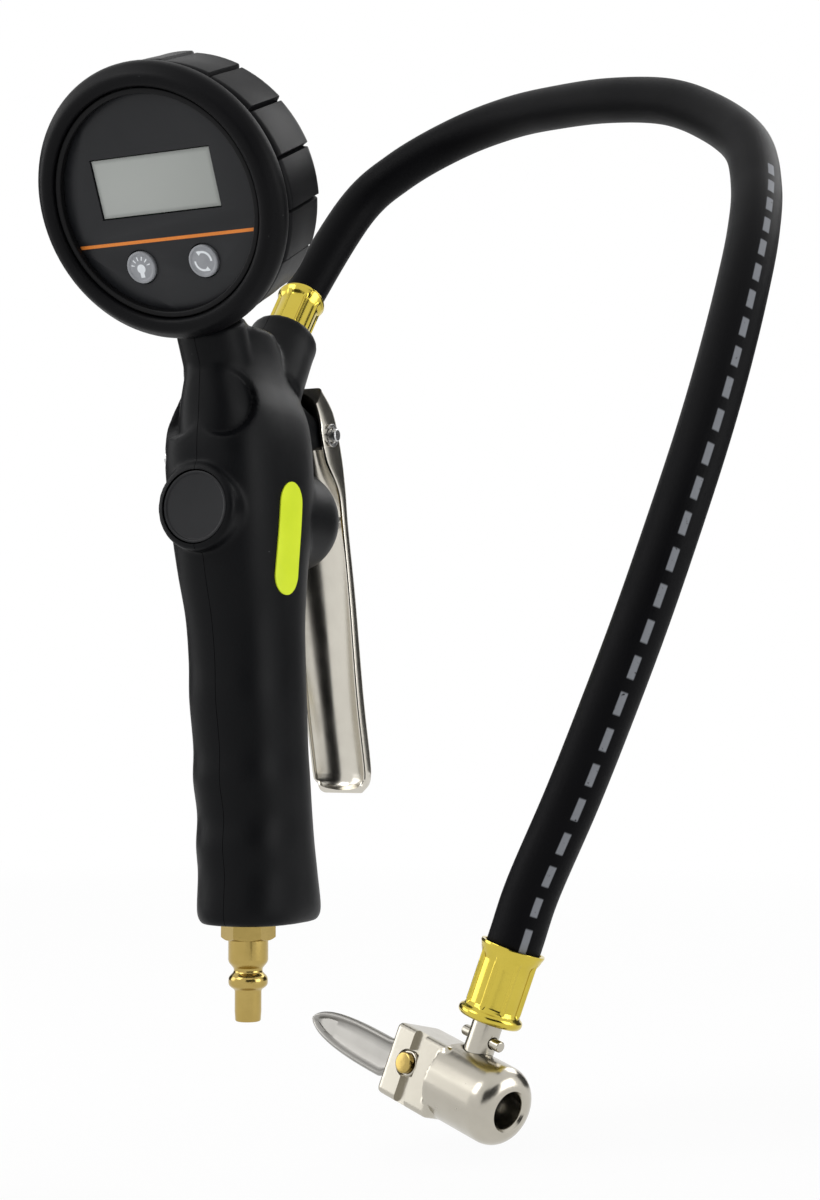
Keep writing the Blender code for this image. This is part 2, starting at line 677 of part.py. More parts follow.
def build_valve(brass, steel, rubber, black, satin):
    """Cap, plug, spring, poppet with its push pin, seal, bush and pin ring on the valve's axis."""
    plug_front = BARREL_REAR_Y + PLUG_LENGTH
    rear = frame(VALVE_FRAME.translation, RIGHT, -FORWARD)
    cap_face = -CAP_FACE_Y - CAP_RECESS
    cap = (
        (CAP_RADIUS - 0.0006, cap_face - CAP_DEPTH),
        (CAP_RADIUS, cap_face - CAP_DEPTH + 0.0006),
        (CAP_RADIUS, cap_face - 0.0006),
        (CAP_RADIUS - 0.0006, cap_face),
        (CAP_RADIUS - 0.0016, cap_face),
        (CAP_RADIUS - 0.0019, cap_face - 0.0003),
    )
    add_object("rear_cap", turned(cap), black, rear)
    plug_profile = (
        (PLUG_RADIUS, BARREL_REAR_Y),
        (PLUG_RADIUS, plug_front),
        (SPRING_RADIUS - SPRING_WIRE - GAP, plug_front),
        (SPRING_RADIUS - SPRING_WIRE - GAP, plug_front + 0.0020),
    )
    add_object("valve_plug", turned(plug_profile), brass, VALVE_FRAME)
    poppet_front = SEAT_Y - SEAL_LENGTH - GAP
    poppet_rear = poppet_front - POPPET_LENGTH
    stem = (
        (POPPET_RADIUS - 0.0006, poppet_rear),
        (POPPET_RADIUS, poppet_rear + 0.0006),
        (POPPET_RADIUS, poppet_front),
        (PIN_RADIUS, poppet_front),
        (PIN_RADIUS, PIN_TIP_Y - 0.0012),
        (PIN_RADIUS * 0.8, PIN_TIP_Y - 0.0004),
        (PIN_RADIUS * 0.4, PIN_TIP_Y),
    )
    add_object("valve_stem", turned(stem), steel, VALVE_FRAME)
    seal = tube(POPPET_RADIUS, PIN_RADIUS + GAP, poppet_front + GAP, SEAT_Y - GAP)
    add_object("poppet_seal", seal, rubber, VALVE_FRAME)
    helix(
        "valve_spring",
        SPRING_RADIUS,
        SPRING_WIRE,
        plug_front + GAP,
        poppet_rear - GAP,
        SPRING_TURNS,
        satin,
        VALVE_FRAME,
    )
    bush_rear = BARREL_FRONT_Y - BUSH_LENGTH
    ring_end = bush_rear + RING_SECTION * 4
    bush = (
        (BUSH_RADIUS, bush_rear),
        (BUSH_RADIUS, BARREL_FRONT_Y + GAP),
        (BUSH_RADIUS + BUSH_FLANGE, BARREL_FRONT_Y + GAP),
        (BUSH_RADIUS + BUSH_FLANGE, BARREL_FRONT_Y + BUSH_FLANGE),
        (PIN_RADIUS + RUNNING, BARREL_FRONT_Y + BUSH_FLANGE),
        (PIN_RADIUS + RUNNING, ring_end + GAP),
        (PIN_RADIUS + RING_SECTION * 2 + GAP, ring_end + GAP),
        (PIN_RADIUS + RING_SECTION * 2 + GAP, bush_rear),
    )
    add_object("valve_bush", turned(bush, ROUND_SIDES, True), brass, VALVE_FRAME)
    ring_middle = PIN_RADIUS + RING_SECTION + GAP / 2.0
    ring = ring_profile(ring_middle, RING_SECTION - GAP / 2.0, ring_end - RING_SECTION)
    add_object("pin_o_ring", turned(ring, 20, True), rubber, VALVE_FRAME)


def ring_profile(radius, section, z):
    """Closed round profile of a sealing ring."""
    points = []
    for i in range(8):
        angle = -2.0 * pi * i / 8
        points.append((radius + section * cos(angle), z + section * sin(angle)))
    return points


def build_boot(rubber):
    """Rubber boot: rounded front lip, groove, ribbed side and a back wall with a hole."""
    pitch = 2.0 * pi / BOOT_PADS
    slope = pitch * 0.05
    half = pitch * PAD_SHARE / 2.0
    angles = []
    for i in range(BOOT_PADS):
        middle = pitch * i
        for step in (-half - slope, -half + slope, half - slope, half + slope):
            angles.append(middle + step)
    side = BOOT_RADIUS - PAD_HEIGHT - 0.0004
    mouth = BOOT_RADIUS - BOOT_LIP
    cavity = case_radius() + GAP
    cavity_front = -FACE_RECESS + GAP
    rib_front = -BOOT_LIP_LENGTH - PAD_MARGIN
    rib_rear = -BOOT_DEPTH + PAD_MARGIN
    outer = [
        (mouth, -0.0012),
        (mouth + 0.0008, -0.0003),
        (mouth + 0.0022, 0.0),
        (BOOT_RADIUS - 0.0020, 0.0),
        (BOOT_RADIUS - 0.0006, -0.0006),
        (BOOT_RADIUS, -0.0022),
        (BOOT_RADIUS, -BOOT_LIP_LENGTH + 0.0014),
        (BOOT_RADIUS - 0.0010, -BOOT_LIP_LENGTH),
        (side, -BOOT_LIP_LENGTH - 0.0008),
        (side, rib_front),
        ("pads", rib_front - 0.0006),
        ("pads", rib_rear + 0.0006),
        (side, rib_rear),
        (side - 0.0008, -BOOT_DEPTH + 0.0012),
        (side - 0.0030, -BOOT_DEPTH),
        (BOOT_BACK_HOLE, -BOOT_DEPTH),
        (BOOT_BACK_HOLE, -BOOT_DEPTH + BOOT_WALL),
        (cavity, -BOOT_DEPTH + BOOT_WALL),
        (cavity, cavity_front),
        (mouth, cavity_front),
    ]
    rings = []
    for radius, z in outer:
        ring = []
        for i, angle in enumerate(angles):
            step = i % 4
            r = radius
            if radius == "pads":
                r = side if step in (0, 3) else side + PAD_HEIGHT
            ring.append((r * cos(angle), r * sin(angle), z))
        rings.append(ring)
    boot = add_object("gauge_boot", skin(rings, True), rubber, GAUGE_FRAME)
    merge_flats(cut(boot, gauge_stem_hole("boot stem hole", STEM_COLLAR_RADIUS + 0.0010)))


def case_radius():
    """Outer radius of the gauge case inside the boot."""
    return BOOT_RADIUS - PAD_HEIGHT - 0.0004 - BOOT_WALL


def gauge_stem_hole(name, radius):
    """Cutter for the stem through the bottom of the gauge."""
    return between(name, GAUGE_MIDDLE, GAUGE_MIDDLE - GAUGE_UP * 0.06, radius, 24)


def build_gauge(black, face_black, glass, rubber, green, satin, brass):
    """Case, bezel, face, display, buttons, board, battery and pressure stem of the gauge."""
    outer = case_radius()
    inner = outer - CASE_WALL
    back = -BOOT_DEPTH + BOOT_WALL + GAP
    front = -FACE_RECESS - GAP
    seat = front - FACE_THICKNESS - GAP * 2
    cup = (
        (outer, back),
        (outer, front),
        (inner, front),
        (inner, seat),
        (inner - CASE_STEP, seat),
        (inner - CASE_STEP, back + CASE_WALL),
        (BATTERY_RADIUS, back + CASE_WALL),
        (BATTERY_RADIUS, back),
    )
    case = add_object("gauge_case", turned(cup, 32, True), black, GAUGE_FRAME)
    merge_flats(cut(case, gauge_stem_hole("case stem hole", STEM_BODY_RADIUS + GAP)))
    cover = turned(((BATTERY_RADIUS - GAP, back), (BATTERY_RADIUS - GAP, back + CASE_WALL)), 32)
    add_object("battery_cover", cover, black, GAUGE_FRAME)
    mouth = BOOT_RADIUS - BOOT_LIP
    bezel = (
        (mouth - GAP, front + GAP),
        (mouth - GAP, -0.0020),
        (mouth - GAP - 0.0005, -0.0015),
        (mouth - BEZEL_WIDTH + 0.0005, -0.0015),
        (mouth - BEZEL_WIDTH, -0.0020),
        (mouth - BEZEL_WIDTH, front + GAP),
    )
    add_object("gauge_bezel", turned(bezel, 40, True), black, GAUGE_FRAME)
    face = add_object("face_plate", rod(inner - GAP, front - FACE_THICKNESS, front, 40), face_black, GAUGE_FRAME)
    half_x = LCD_SIZE[0] / 2.0
    half_y = LCD_SIZE[1] / 2.0
    window = block(
        (-half_x - GAP, LCD_CENTRE_Y - half_y - GAP, -0.02), (half_x + GAP, LCD_CENTRE_Y + half_y + GAP, 0.02)
    )
    cut(face, add_object("display window", window, None, GAUGE_FRAME))
    lcd_face = front - 0.0004
    screen = block(
        (-half_x, LCD_CENTRE_Y - half_y, lcd_face - LCD_THICKNESS), (half_x, LCD_CENTRE_Y + half_y, lcd_face)
    )
    add_object("lcd_panel", screen, glass, GAUGE_FRAME)
    board_front = -BOARD_DEPTH
    board_obj = rod(inner - CASE_STEP - BOARD_MARGIN, board_front - BOARD_THICKNESS, board_front, 40)
    board = add_object("circuit_board", board_obj, green, GAUGE_FRAME)
    pad_front = board_front + GAP + SWITCH_PAD_THICKNESS
    pad = block(
        (-BUTTON_SPREAD - SWITCH_PAD_MARGIN, BUTTON_Y - SWITCH_PAD_HALF, board_front + GAP),
        (BUTTON_SPREAD + SWITCH_PAD_MARGIN, BUTTON_Y + SWITCH_PAD_HALF, pad_front),
    )
    add_object("button_pad", pad, rubber, GAUGE_FRAME)
    for name, side in (("light_button", -1), ("unit_button", 1)):
        build_button(name, side, front, pad_front, face, satin)
    stem_cut = gauge_stem_hole("board stem hole", STEM_BODY_RADIUS + 0.0010)
    cut(board, stem_cut)
    battery_rear = back + CASE_WALL + GAP
    battery_radius = BATTERY_RADIUS - CASE_STEP
    battery = turned(((battery_radius, battery_rear), (battery_radius, battery_rear + BATTERY_THICKNESS)))
    add_object("battery", battery, satin, GAUGE_FRAME)
    merge_flats(face)
    build_gauge_stem(brass, rubber)


def build_button(name, side, front, pad_front, face, satin):
    """Push button through the face, with its stem standing over the switch pad."""
    place = GAUGE_FRAME @ Matrix.Translation((side * BUTTON_SPREAD, BUTTON_Y, 0.0))
    cap_rear = front - FACE_THICKNESS - 0.0012
    profile = (
        (BUTTON_STEM, pad_front + BUTTON_TRAVEL + GAP),
        (BUTTON_STEM, cap_rear),
        (BUTTON_RADIUS, cap_rear),
        (BUTTON_RADIUS, front + BUTTON_PROUD - 0.0005),
        (BUTTON_RADIUS - 0.0006, front + BUTTON_PROUD),
    )
    add_object(name, turned(profile, 24), satin, place)
    cut(face, add_object(f"{name} hole", rod(BUTTON_RADIUS + RUNNING, -0.02, 0.02, 24), None, place))


def build_gauge_stem(brass, rubber):
    """Pressure stem from the board down into the valve block, with its sealing ring."""
    foot = STEM_FOOT
    axis = frame(foot, RIGHT, GAUGE_UP)
    top = STEM_REACH + BUTTON_Y - SWITCH_PAD_HALF - STEM_HEADROOM
    collar_low = 0.0105
    profile = (
        (PORT_SOCKET_RADIUS - RING_SEAT, 0.0),
        (PORT_SOCKET_RADIUS - RING_SEAT, 0.0024),
        (PORT_SOCKET_RADIUS, 0.0024),
        (PORT_SOCKET_RADIUS, collar_low - 0.0020),
        (STEM_BODY_RADIUS, collar_low),
        (STEM_BODY_RADIUS, top),
        (STEM_BORE, top),
        (STEM_BORE, 0.0),
    )
    add_object("gauge_stem", turned(profile, 24, True), brass, axis)
    ring = ring_profile(PORT_SOCKET_RADIUS - RING_SEAT / 2.0 + 0.0001, RING_SEAT / 2.0 - GAP / 2.0, 0.0012)
    add_object("stem_o_ring", turned(ring, 24, True), rubber, axis)


def lever_station(index):
    """Middle of the web, its tangent and the inward normal at one station of the lever."""
    y, z, _, _ = LEVER_LINE[index]
    before = LEVER_LINE[max(index - 1, 0)]
    after = LEVER_LINE[min(index + 1, len(LEVER_LINE) - 1)]
    tangent = Vector((0.0, after[0] - before[0], after[1] - before[1])).normalized()
    inward = Vector((0.0, tangent.z, -tangent.y))
    return Vector((0.0, y, z)), inward


def build_trigger(chrome, steel):
    """Pressed lever with turned-in sides, its pivot pin and the clip on the pin's end."""
    rings = []
    for i, (_, _, depth, share) in enumerate(LEVER_LINE):
        centre, inward = lever_station(i)
        half = LEVER_HALF_WIDTH * share
        inner = half - LEVER_SHEET
        edge = LEVER_SHEET * 0.7
        points = (
            (-half, depth),
            (-half, edge),
            (-half + edge, 0.0),
            (half - edge, 0.0),
            (half, edge),
            (half, depth),
            (inner, depth),
            (inner, LEVER_SHEET),
            (-inner, LEVER_SHEET),
            (-inner, depth),
        )
        rings.append([centre + RIGHT * x + inward * d for x, d in points])
    lever = add_object("trigger_lever", skin(rings, False), chrome)
    hole = rod(PIVOT_PIN_RADIUS + RUNNING, -0.02, 0.02, 16)
    cut(lever, add_object("lever pivot hole", hole, None, frame(PIVOT, FORWARD, RIGHT)))
    axis = frame(PIVOT, FORWARD, RIGHT)
    reach = LEVER_HALF_WIDTH + GAP
    clip_x = reach + GAP
    pin = (
        (PIVOT_HEAD_RADIUS, -reach - PIVOT_HEAD),
        (PIVOT_HEAD_RADIUS, -reach),
        (PIVOT_PIN_RADIUS, -reach),
        (PIVOT_PIN_RADIUS, clip_x + CLIP_THICKNESS + 0.0012),
        (PIVOT_PIN_RADIUS - 0.0004, clip_x + CLIP_THICKNESS + 0.0016),
    )
    add_object("trigger_pivot_pin", turned(pin, 20), steel, axis)
    outline = []
    inner_radius = PIVOT_PIN_RADIUS + GAP
    for i in range(17):
        angle = CLIP_MOUTH / 2.0 + (2.0 * pi - CLIP_MOUTH) * i / 16 + pi
        outline.append((CLIP_RADIUS * cos(angle), CLIP_RADIUS * sin(angle)))
    for i in range(16, -1, -1):
        angle = CLIP_MOUTH / 2.0 + (2.0 * pi - CLIP_MOUTH) * i / 16 + pi
        outline.append((inner_radius * cos(angle), inner_radius * sin(angle)))
    clip = prism(outline, clip_x, clip_x + CLIP_THICKNESS)
    add_object("pivot_clip", clip, steel, axis)


def build_pad(lime):
    """Thin blank pad on the casing's right side, curved to the grip."""
    rows = []
    middle_y, middle_z = PAD_CENTRE
    half_width = PAD_WIDTH / 2.0
    straight = PAD_LENGTH / 2.0 - half_width
    steps = 16
    for i in range(steps + 1):
        height = -PAD_LENGTH / 2.0 + PAD_LENGTH * i / steps
        beyond = max(abs(height) - straight, 0.0)
        reach = max(sqrt(max(half_width**2 - beyond**2, 0.0)), half_width * 0.15)
        rows.append((middle_z + height, reach))
    rings = []
    for z, reach in rows:
        lower = []
        upper = []
        for j in range(5):
            y = middle_y - reach + 2.0 * reach * j / 4
            x = max(grip_width_at(z, y), nose_width_at(z, y)) + GAP
            lower.append((x, y, z))
            upper.append((x + PAD_THICKNESS, y, z))
        rings.append(lower + upper[::-1])
    add_object("side_pad", skin(rings, False), lime)


def nose_width_at(z, y):
    """Half width of the valve nose at this height, where it stands out of the grip."""
    rise = abs(z - VALVE_Z)
    if rise >= NOSE_RADIUS or y < 0.0:
        return 0.0
    return sqrt(NOSE_RADIUS**2 - rise**2)


def ferrule_mesh(length, hose_end):
    """Crimped ferrule along Z: a rolled rim at each end and flats between, open to the hose."""
    sides = CRIMPS * 3
    outer = [
        (FERRULE_RADIUS, 0.0, 0.0),
        (FERRULE_RADIUS + 0.0004, 0.0006, 0.0),
        (FERRULE_RADIUS + 0.0004, FERRULE_RIM - 0.0008, 0.0),
        (FERRULE_RADIUS - 0.0002, FERRULE_RIM, 1.0),
        (FERRULE_RADIUS - 0.0002, length - FERRULE_RIM, 1.0),
        (FERRULE_RADIUS + 0.0004, length - FERRULE_RIM + 0.0008, 0.0),
        (FERRULE_RADIUS + 0.0004, length - 0.0006, 0.0),
        (FERRULE_RADIUS, length, 0.0),
        (HOSE_GRIPPED + GAP, length, 0.0),
        (HOSE_GRIPPED + GAP, hose_end, 0.0),
        (HOSE_STEM_RADIUS + GAP, hose_end, 0.0),
        (HOSE_STEM_RADIUS + GAP, 0.0, 0.0),
    ]
    rings = []
    for radius, z, crimp in outer:
        ring = []
        for i in range(sides):
            angle = 2.0 * pi * i / sides
            r = radius - (CRIMP_DEPTH * crimp if i % 3 == 0 else 0.0)
            ring.append((r * cos(angle), r * sin(angle), z))
        rings.append(ring)
    return skin(rings, True)


def port_point(distance):
    """Point on the hose port's axis, this far out of its mouth."""
    return PORT_MOUTH + PORT_DIRECTION * distance


def hose_points():
    """Smooth curve through the route as points and radii, narrower where the ferrules grip it."""
    start = port_point(FERRULE_START + FERRULE_SOCKET + GAP)
    mouth = port_point(FERRULE_START + FERRULE_LENGTH + HOSE_GRIP_EDGE)
    lead = port_point(FERRULE_START + FERRULE_LENGTH + HOSE_LEAD)
    tail = HOSE_END - chuck_up() * HOSE_TAIL
    guides = [start, lead, *map(Vector, HOSE_ROUTE), HOSE_END, tail]
    dense = []
    for p0, p1, p2, p3 in zip(guides, guides[1:], guides[2:], guides[3:]):
        dense += [catmull(p0, p1, p2, p3, j / 12.0) for j in range(12)]
    length = sum((b - a).length for a, b in zip(dense, dense[1:]))
    count = round(length / HOSE_STEP)
    points = [lead]
    travelled = 0.0
    for a, b in zip(dense, dense[1:]):
        travelled += (b - a).length
        if travelled >= length * len(points) / count and len(points) < count:
            points.append(b)
    far_mouth = HOSE_END - chuck_up() * (HOSE_LEAD - HOSE_GRIP_EDGE)
    points = [start, mouth, *points, HOSE_END, far_mouth, tail]
    gripped = HOSE_GRIPPED / HOSE_RADIUS
    radii = [gripped, gripped] + [1.0] * (len(points) - 4) + [gripped, gripped]
    total = sum((b - a).length for a, b in zip(points, points[1:]))
    print(f"hose length {total:.4f} m in {len(points)} points")
    return list(zip(points, radii))


def catmull(p0, p1, p2, p3, t):
    """Point on the smooth curve between p1 and p2."""
    a = p1 * 2.0
    b = (p2 - p0) * t
    c = (p0 * 2.0 - p1 * 5.0 + p2 * 4.0 - p3) * t**2
    d = (p1 * 3.0 - p0 - p2 * 3.0 + p3) * t**3
    return (a + b + c + d) / 2.0


def chuck_up():
    """Direction up the hose where the chuck hangs, from its last stretch."""
    return (Vector(HOSE_ROUTE[-1]) - HOSE_END).normalized()


def chuck_frame():
    """World matrix of the chuck, on the axis of the stem and the nose: X is u, Y is v, Z is w."""
    up = chuck_up()
    drop = HOSE_TAIL + FERRULE_LENGTH - FERRULE_SOCKET_FAR + STEM_LENGTH + CHUCK_RADIUS - STEM_SEAT_DEPTH
    origin = HOSE_END - up * drop
    return frame(origin, CHUCK_NOSE_DIRECTION, up)


def build_hose(rubber, brass):
    """Whip hose as one tube, the fitting in the port and the ferrule that grips the hose there."""
    seat = frame(port_point(FERRULE_START), RIGHT, PORT_DIRECTION)
    add_object("gun_ferrule", ferrule_mesh(FERRULE_LENGTH, FERRULE_SOCKET), brass, seat)
    thread_top = FERRULE_START - GAP
    fitting = (
        (PORT_SOCKET_RADIUS, -0.0035 - PORT_THREAD),
        (PORT_SOCKET_RADIUS, thread_top),
        (HOSE_STEM_RADIUS, thread_top),
        (HOSE_STEM_RADIUS, FERRULE_START + FERRULE_SOCKET - GAP),
        (HOSE_STEM_BORE, FERRULE_START + FERRULE_SOCKET - GAP),
        (HOSE_STEM_BORE, -0.0035 - PORT_THREAD),
    )
    add_object("hose_port_fitting", turned(fitting, 24, True), brass, PORT_FRAME)
    curve = bpy.data.curves.new("hose", "CURVE")
    curve.dimensions = "3D"
    curve.bevel_depth = HOSE_RADIUS
    curve.bevel_resolution = 4
    curve.use_fill_caps = True
    points = hose_points()
    spline = curve.splines.new("POLY")
    spline.points.add(len(points) - 1)
    for target, (point, radius) in zip(spline.points, points):
        target.co = (*point, 1.0)
        target.radius = radius
    curve.materials.append(rubber)
    obj = bpy.data.objects.new("hose", curve)
    bpy.context.scene.collection.objects.link(obj)


def build_chuck(nickel, brass, steel, rubber, satin):
    """Clip-on chuck that hangs on the hose: stem, body, lever, pin, jaw, seal and depressor."""
    place = chuck_frame()
    top = CHUCK_RADIUS - STEM_SEAT_DEPTH
    ferrule_low = top + STEM_LENGTH
    ferrule = ferrule_mesh(FERRULE_LENGTH, FERRULE_LENGTH - FERRULE_SOCKET_FAR)
    add_object("chuck_ferrule", ferrule, brass, place @ Matrix.Translation((0.0, 0.0, ferrule_low)))
    stem = tube(STEM_RADIUS - GAP, HOSE_STEM_BORE, top, ferrule_low + FERRULE_SOCKET - GAP, 24)
    stem_obj = add_object("chuck_stem", stem, nickel, place)
    pin_axis = place @ frame(Vector((0.0, 0.0, CHUCK_RADIUS + CROSS_PIN_RISE)), UP, RIGHT)
    pin_hole = rod(CROSS_PIN_RADIUS + GAP, -0.02, 0.02, 12)
    merge_flats(cut(stem_obj, add_object("cross pin hole", pin_hole, None, pin_axis)))
    add_object("stem_cross_pin", rod(CROSS_PIN_RADIUS, -CROSS_PIN_HALF, CROSS_PIN_HALF, 12), steel, pin_axis)
    build_chuck_body(place, top, nickel)
    build_chuck_inside(place, rubber, brass, satin)
    build_chuck_lever(place, nickel, brass, steel)


def build_chuck_body(place, top, nickel):
    """Round nose with a bored mouth, joined to the slotted lever block."""
    along = frame(Vector((0.0, 0.0, 0.0)), UP, RIGHT)
    nose = rounded_profile(CHUCK_RADIUS, CHUCK_SHOULDER_U - 0.002, CHUCK_NOSE_U, CHUCK_ROUND, 4)
    body = add_object("chuck_body", turned(nose, 28), nickel, place @ along)
    low = (CHUCK_SHOULDER_U - BLOCK_LENGTH, -BLOCK_HALF_THICKNESS, BLOCK_BOTTOM_W)
    high = (CHUCK_SHOULDER_U, BLOCK_HALF_THICKNESS, BLOCK_TOP_W)
    lump = soften(add_object("chuck block", block(low, high), None, place), BLOCK_BEVEL)
    fuse(body, lump)
    pin_u = lever_pin_u()
    groove = block(
        (pin_u + COLLAR_RADIUS - GROOVE_WIDTH + GAP, -BLOCK_HALF_THICKNESS - 0.01, BLOCK_BOTTOM_W - 0.01),
        (pin_u + COLLAR_RADIUS + GAP, -BLOCK_HALF_THICKNESS + GROOVE_DEPTH, BLOCK_TOP_W + 0.01),
    )
    slot = block(
        (CHUCK_SHOULDER_U - BLOCK_LENGTH - 0.01, -LEVER_SLOT_HALF, -SPOON_HUB_RADIUS - 0.0012),
        (CHUCK_SHOULDER_U - BLOCK_LENGTH + LEVER_SLOT_DEPTH, LEVER_SLOT_HALF, BLOCK_TOP_W + 0.01),
    )
    across = place @ frame(Vector((pin_u, 0.0, 0.0)), RIGHT, FORWARD)
    bore_floor = CHUCK_NOSE_U - CHUCK_BORE_DEPTH
    mouth = (
        (CHUCK_BORE, bore_floor),
        (CHUCK_BORE, CHUCK_NOSE_U - CHUCK_MOUTH_BEVEL),
        (CHUCK_BORE + CHUCK_MOUTH_BEVEL * 2, CHUCK_NOSE_U + CHUCK_MOUTH_BEVEL),
    )
    collar_seat = rod(COLLAR_RADIUS + GAP, -0.02, -BLOCK_HALF_THICKNESS + GROOVE_DEPTH, 24)
    air = rod(DEPRESSOR_HEAD + RUNNING, bore_floor - DEPRESSOR_LENGTH, CHUCK_NOSE_U, 20)
    cut(
        body,
        add_object("chuck groove", groove, None, place),
        add_object("chuck lever slot", slot, None, place),
        add_object("chuck pin hole", rod(LEVER_PIN_RADIUS + RUNNING, -0.02, 0.02, 20), None, across),
        add_object("chuck collar seat", collar_seat, None, across),
        add_object("chuck mouth", turned(mouth, 32), None, place @ along),
        add_object("chuck air passage", air, None, place @ along),
        add_object("chuck stem seat", rod(STEM_RADIUS, top - GAP, 0.05, 24), None, place),
        add_object("chuck feed", rod(HOSE_STEM_BORE, 0.0, 0.05, 16), None, place),
        add_object("jaw slot", jaw_block(GAP, JAW_TRAVEL), None, place),
    )
    merge_flats(body)


def jaw_block(grow, travel):
    """Box of the jaw, under the bore, grown by a clearance and by its travel."""
    high_w = -CHUCK_BORE + 0.0004
    return block(
        (CHUCK_NOSE_U - CHUCK_BORE_DEPTH - grow, -JAW_HALF - grow, high_w - JAW_HALF - grow - travel),
        (CHUCK_NOSE_U - CHUCK_BORE_DEPTH + JAW_LENGTH + grow, JAW_HALF + grow, high_w + grow),
    )


def lever_pin_u():
    """Place of the thumb lever's pin along the chuck."""
    return CHUCK_SHOULDER_U - BLOCK_LENGTH * LEVER_PIN_SHARE


def build_chuck_inside(place, rubber, brass, satin):
    """Jaw, seal washer and depressor pin inside the nose."""
    along = place @ frame(Vector((0.0, 0.0, 0.0)), UP, RIGHT)
    floor = CHUCK_NOSE_U - CHUCK_BORE_DEPTH
    add_object("chuck_jaw", jaw_block(0.0, 0.0), satin, place)
    seal = tube(SEAL_OUTER - GAP, SEAL_INNER, floor + GAP, floor + GAP + SEAL_THICKNESS, 28)
    add_object("chuck_seal", seal, rubber, along)
    tip = floor + SEAL_THICKNESS + 0.0014
    pin = (
        (DEPRESSOR_HEAD, tip - DEPRESSOR_LENGTH),
        (DEPRESSOR_HEAD, tip - DEPRESSOR_LENGTH + 0.0012),
        (DEPRESSOR_RADIUS, tip - DEPRESSOR_LENGTH + 0.0016),
        (DEPRESSOR_RADIUS, tip - 0.0003),
        (DEPRESSOR_RADIUS * 0.6, tip),
    )
    add_object("valve_depressor", turned(pin, 16), brass, along)


def build_chuck_lever(place, nickel, brass, steel):
    """Spoon-shaped thumb lever on its brass pin, with the collar in the block's groove."""
    pin_u = lever_pin_u()
    start_u = pin_u - SPOON_HUB_RADIUS - 0.001
    stations = 12
    rings = []
    for i in range(stations + 1):
        share = i / stations
        u = start_u + 0.0045 - (SPOON_LENGTH + 0.0045) * share
        beyond = (CHUCK_SHOULDER_U - BLOCK_LENGTH - GAP - u) / SPOON_SHOULDER
        widen = min(max(beyond, 0.0), 1.0)
        widen = widen * widen * (3.0 - 2.0 * widen)
        half = SPOON_ARM_HIGH + (SPOON_HALF_WIDTH - SPOON_ARM_HIGH) * widen
        taper = max((share - SPOON_TAPER) / (1.0 - SPOON_TAPER), 0.0)
        half = max(half * sqrt(max(1.0 - taper**2, 0.0)), SPOON_THICKNESS / 2.0)
        middle = -SPOON_DROP * widen
        rim = SPOON_RIM * min(widen + 0.2, 1.0)
        rim_in = max(half - SPOON_THICKNESS, half * 0.5)
        rings.append(
            [
                (u, SPOON_THICKNESS, middle + half),
                (u, SPOON_THICKNESS, middle - half),
                (u, -rim, middle - half),
                (u, -rim, middle - rim_in),
                (u, 0.0, middle - rim_in * 0.9),
                (u, 0.0, middle + rim_in * 0.9),
                (u, -rim, middle + rim_in),
                (u, -rim, middle + half),
            ]
        )
    lever = add_object("chuck_lever", skin(rings, False), nickel, place)
    across = place @ frame(Vector((pin_u, 0.0, 0.0)), RIGHT, FORWARD)
    hub = rod(SPOON_HUB_RADIUS, -SPOON_ARM_HALF, SPOON_ARM_HALF, 24)
    fuse(lever, add_object("chuck lever hub", hub, None, across))
    cut(lever, add_object("chuck lever bore", rod(LEVER_PIN_RADIUS + RUNNING, -0.02, 0.02, 20), None, across))
    face = -BLOCK_HALF_THICKNESS
    pin = (
        (LEVER_PIN_HEAD_RADIUS, face - 0.0012),
        (LEVER_PIN_HEAD_RADIUS, face + GROOVE_DEPTH - COLLAR_LENGTH - GAP),
        (LEVER_PIN_RADIUS, face + GROOVE_DEPTH - COLLAR_LENGTH - GAP),
        (LEVER_PIN_RADIUS, BLOCK_HALF_THICKNESS + 0.0004),
    )
    add_object("chuck_lever_pin", turned(pin, 24), brass, across)
    collar = tube(
        COLLAR_RADIUS, LEVER_PIN_RADIUS + GAP, face + GROOVE_DEPTH - COLLAR_LENGTH, face + GROOVE_DEPTH - GAP, 24
    )
    add_object("pin_collar", collar, steel, across)


def main():
    """Clears the scene and models every piece."""
    for old in list(bpy.data.objects):
        bpy.data.objects.remove(old, do_unlink=True)
    black = make_material("soft-touch black", (0.016, 0.016, 0.017), 0.55)
    gloss = make_material("moulded black", (0.012, 0.012, 0.013), 0.40)
    face_black = make_material("face black", (0.015, 0.016, 0.018), 0.35)
    rubber = make_material("rubber", (0.014, 0.014, 0.015), 0.70)
    lime = make_material("lime film", (0.62, 0.86, 0.02), 0.45)
    brass = make_material("brass", (0.80, 0.58, 0.16), 0.28, 1.0)
    chrome = make_material("chrome", (0.82, 0.81, 0.79), 0.15, 1.0)
    nickel = make_material("nickel", (0.76, 0.74, 0.69), 0.25, 1.0)
    steel = make_material("steel", (0.62, 0.62, 0.62), 0.30, 1.0)
    satin = make_material("satin grey", (0.42, 0.43, 0.44), 0.45)
    cast_metal = make_material("cast aluminium", (0.60, 0.60, 0.62), 0.50, 1.0)
    glass = make_material("display", (0.44, 0.45, 0.40), 0.25)
    green = make_material("circuit green", (0.03, 0.20, 0.08), 0.50)
    build_casing(black)
    build_screws(steel)
    build_valve_block(cast_metal)
    build_inlet_plug(brass)
    build_valve(brass, steel, rubber, gloss, steel)
    build_boot(rubber)
    build_gauge(gloss, face_black, glass, rubber, green, satin, brass)
    build_trigger(chrome, steel)
    build_pad(lime)
    build_hose(rubber, brass)
    build_chuck(nickel, brass, steel, rubber, satin)
    bpy.context.view_layer.update()


main()
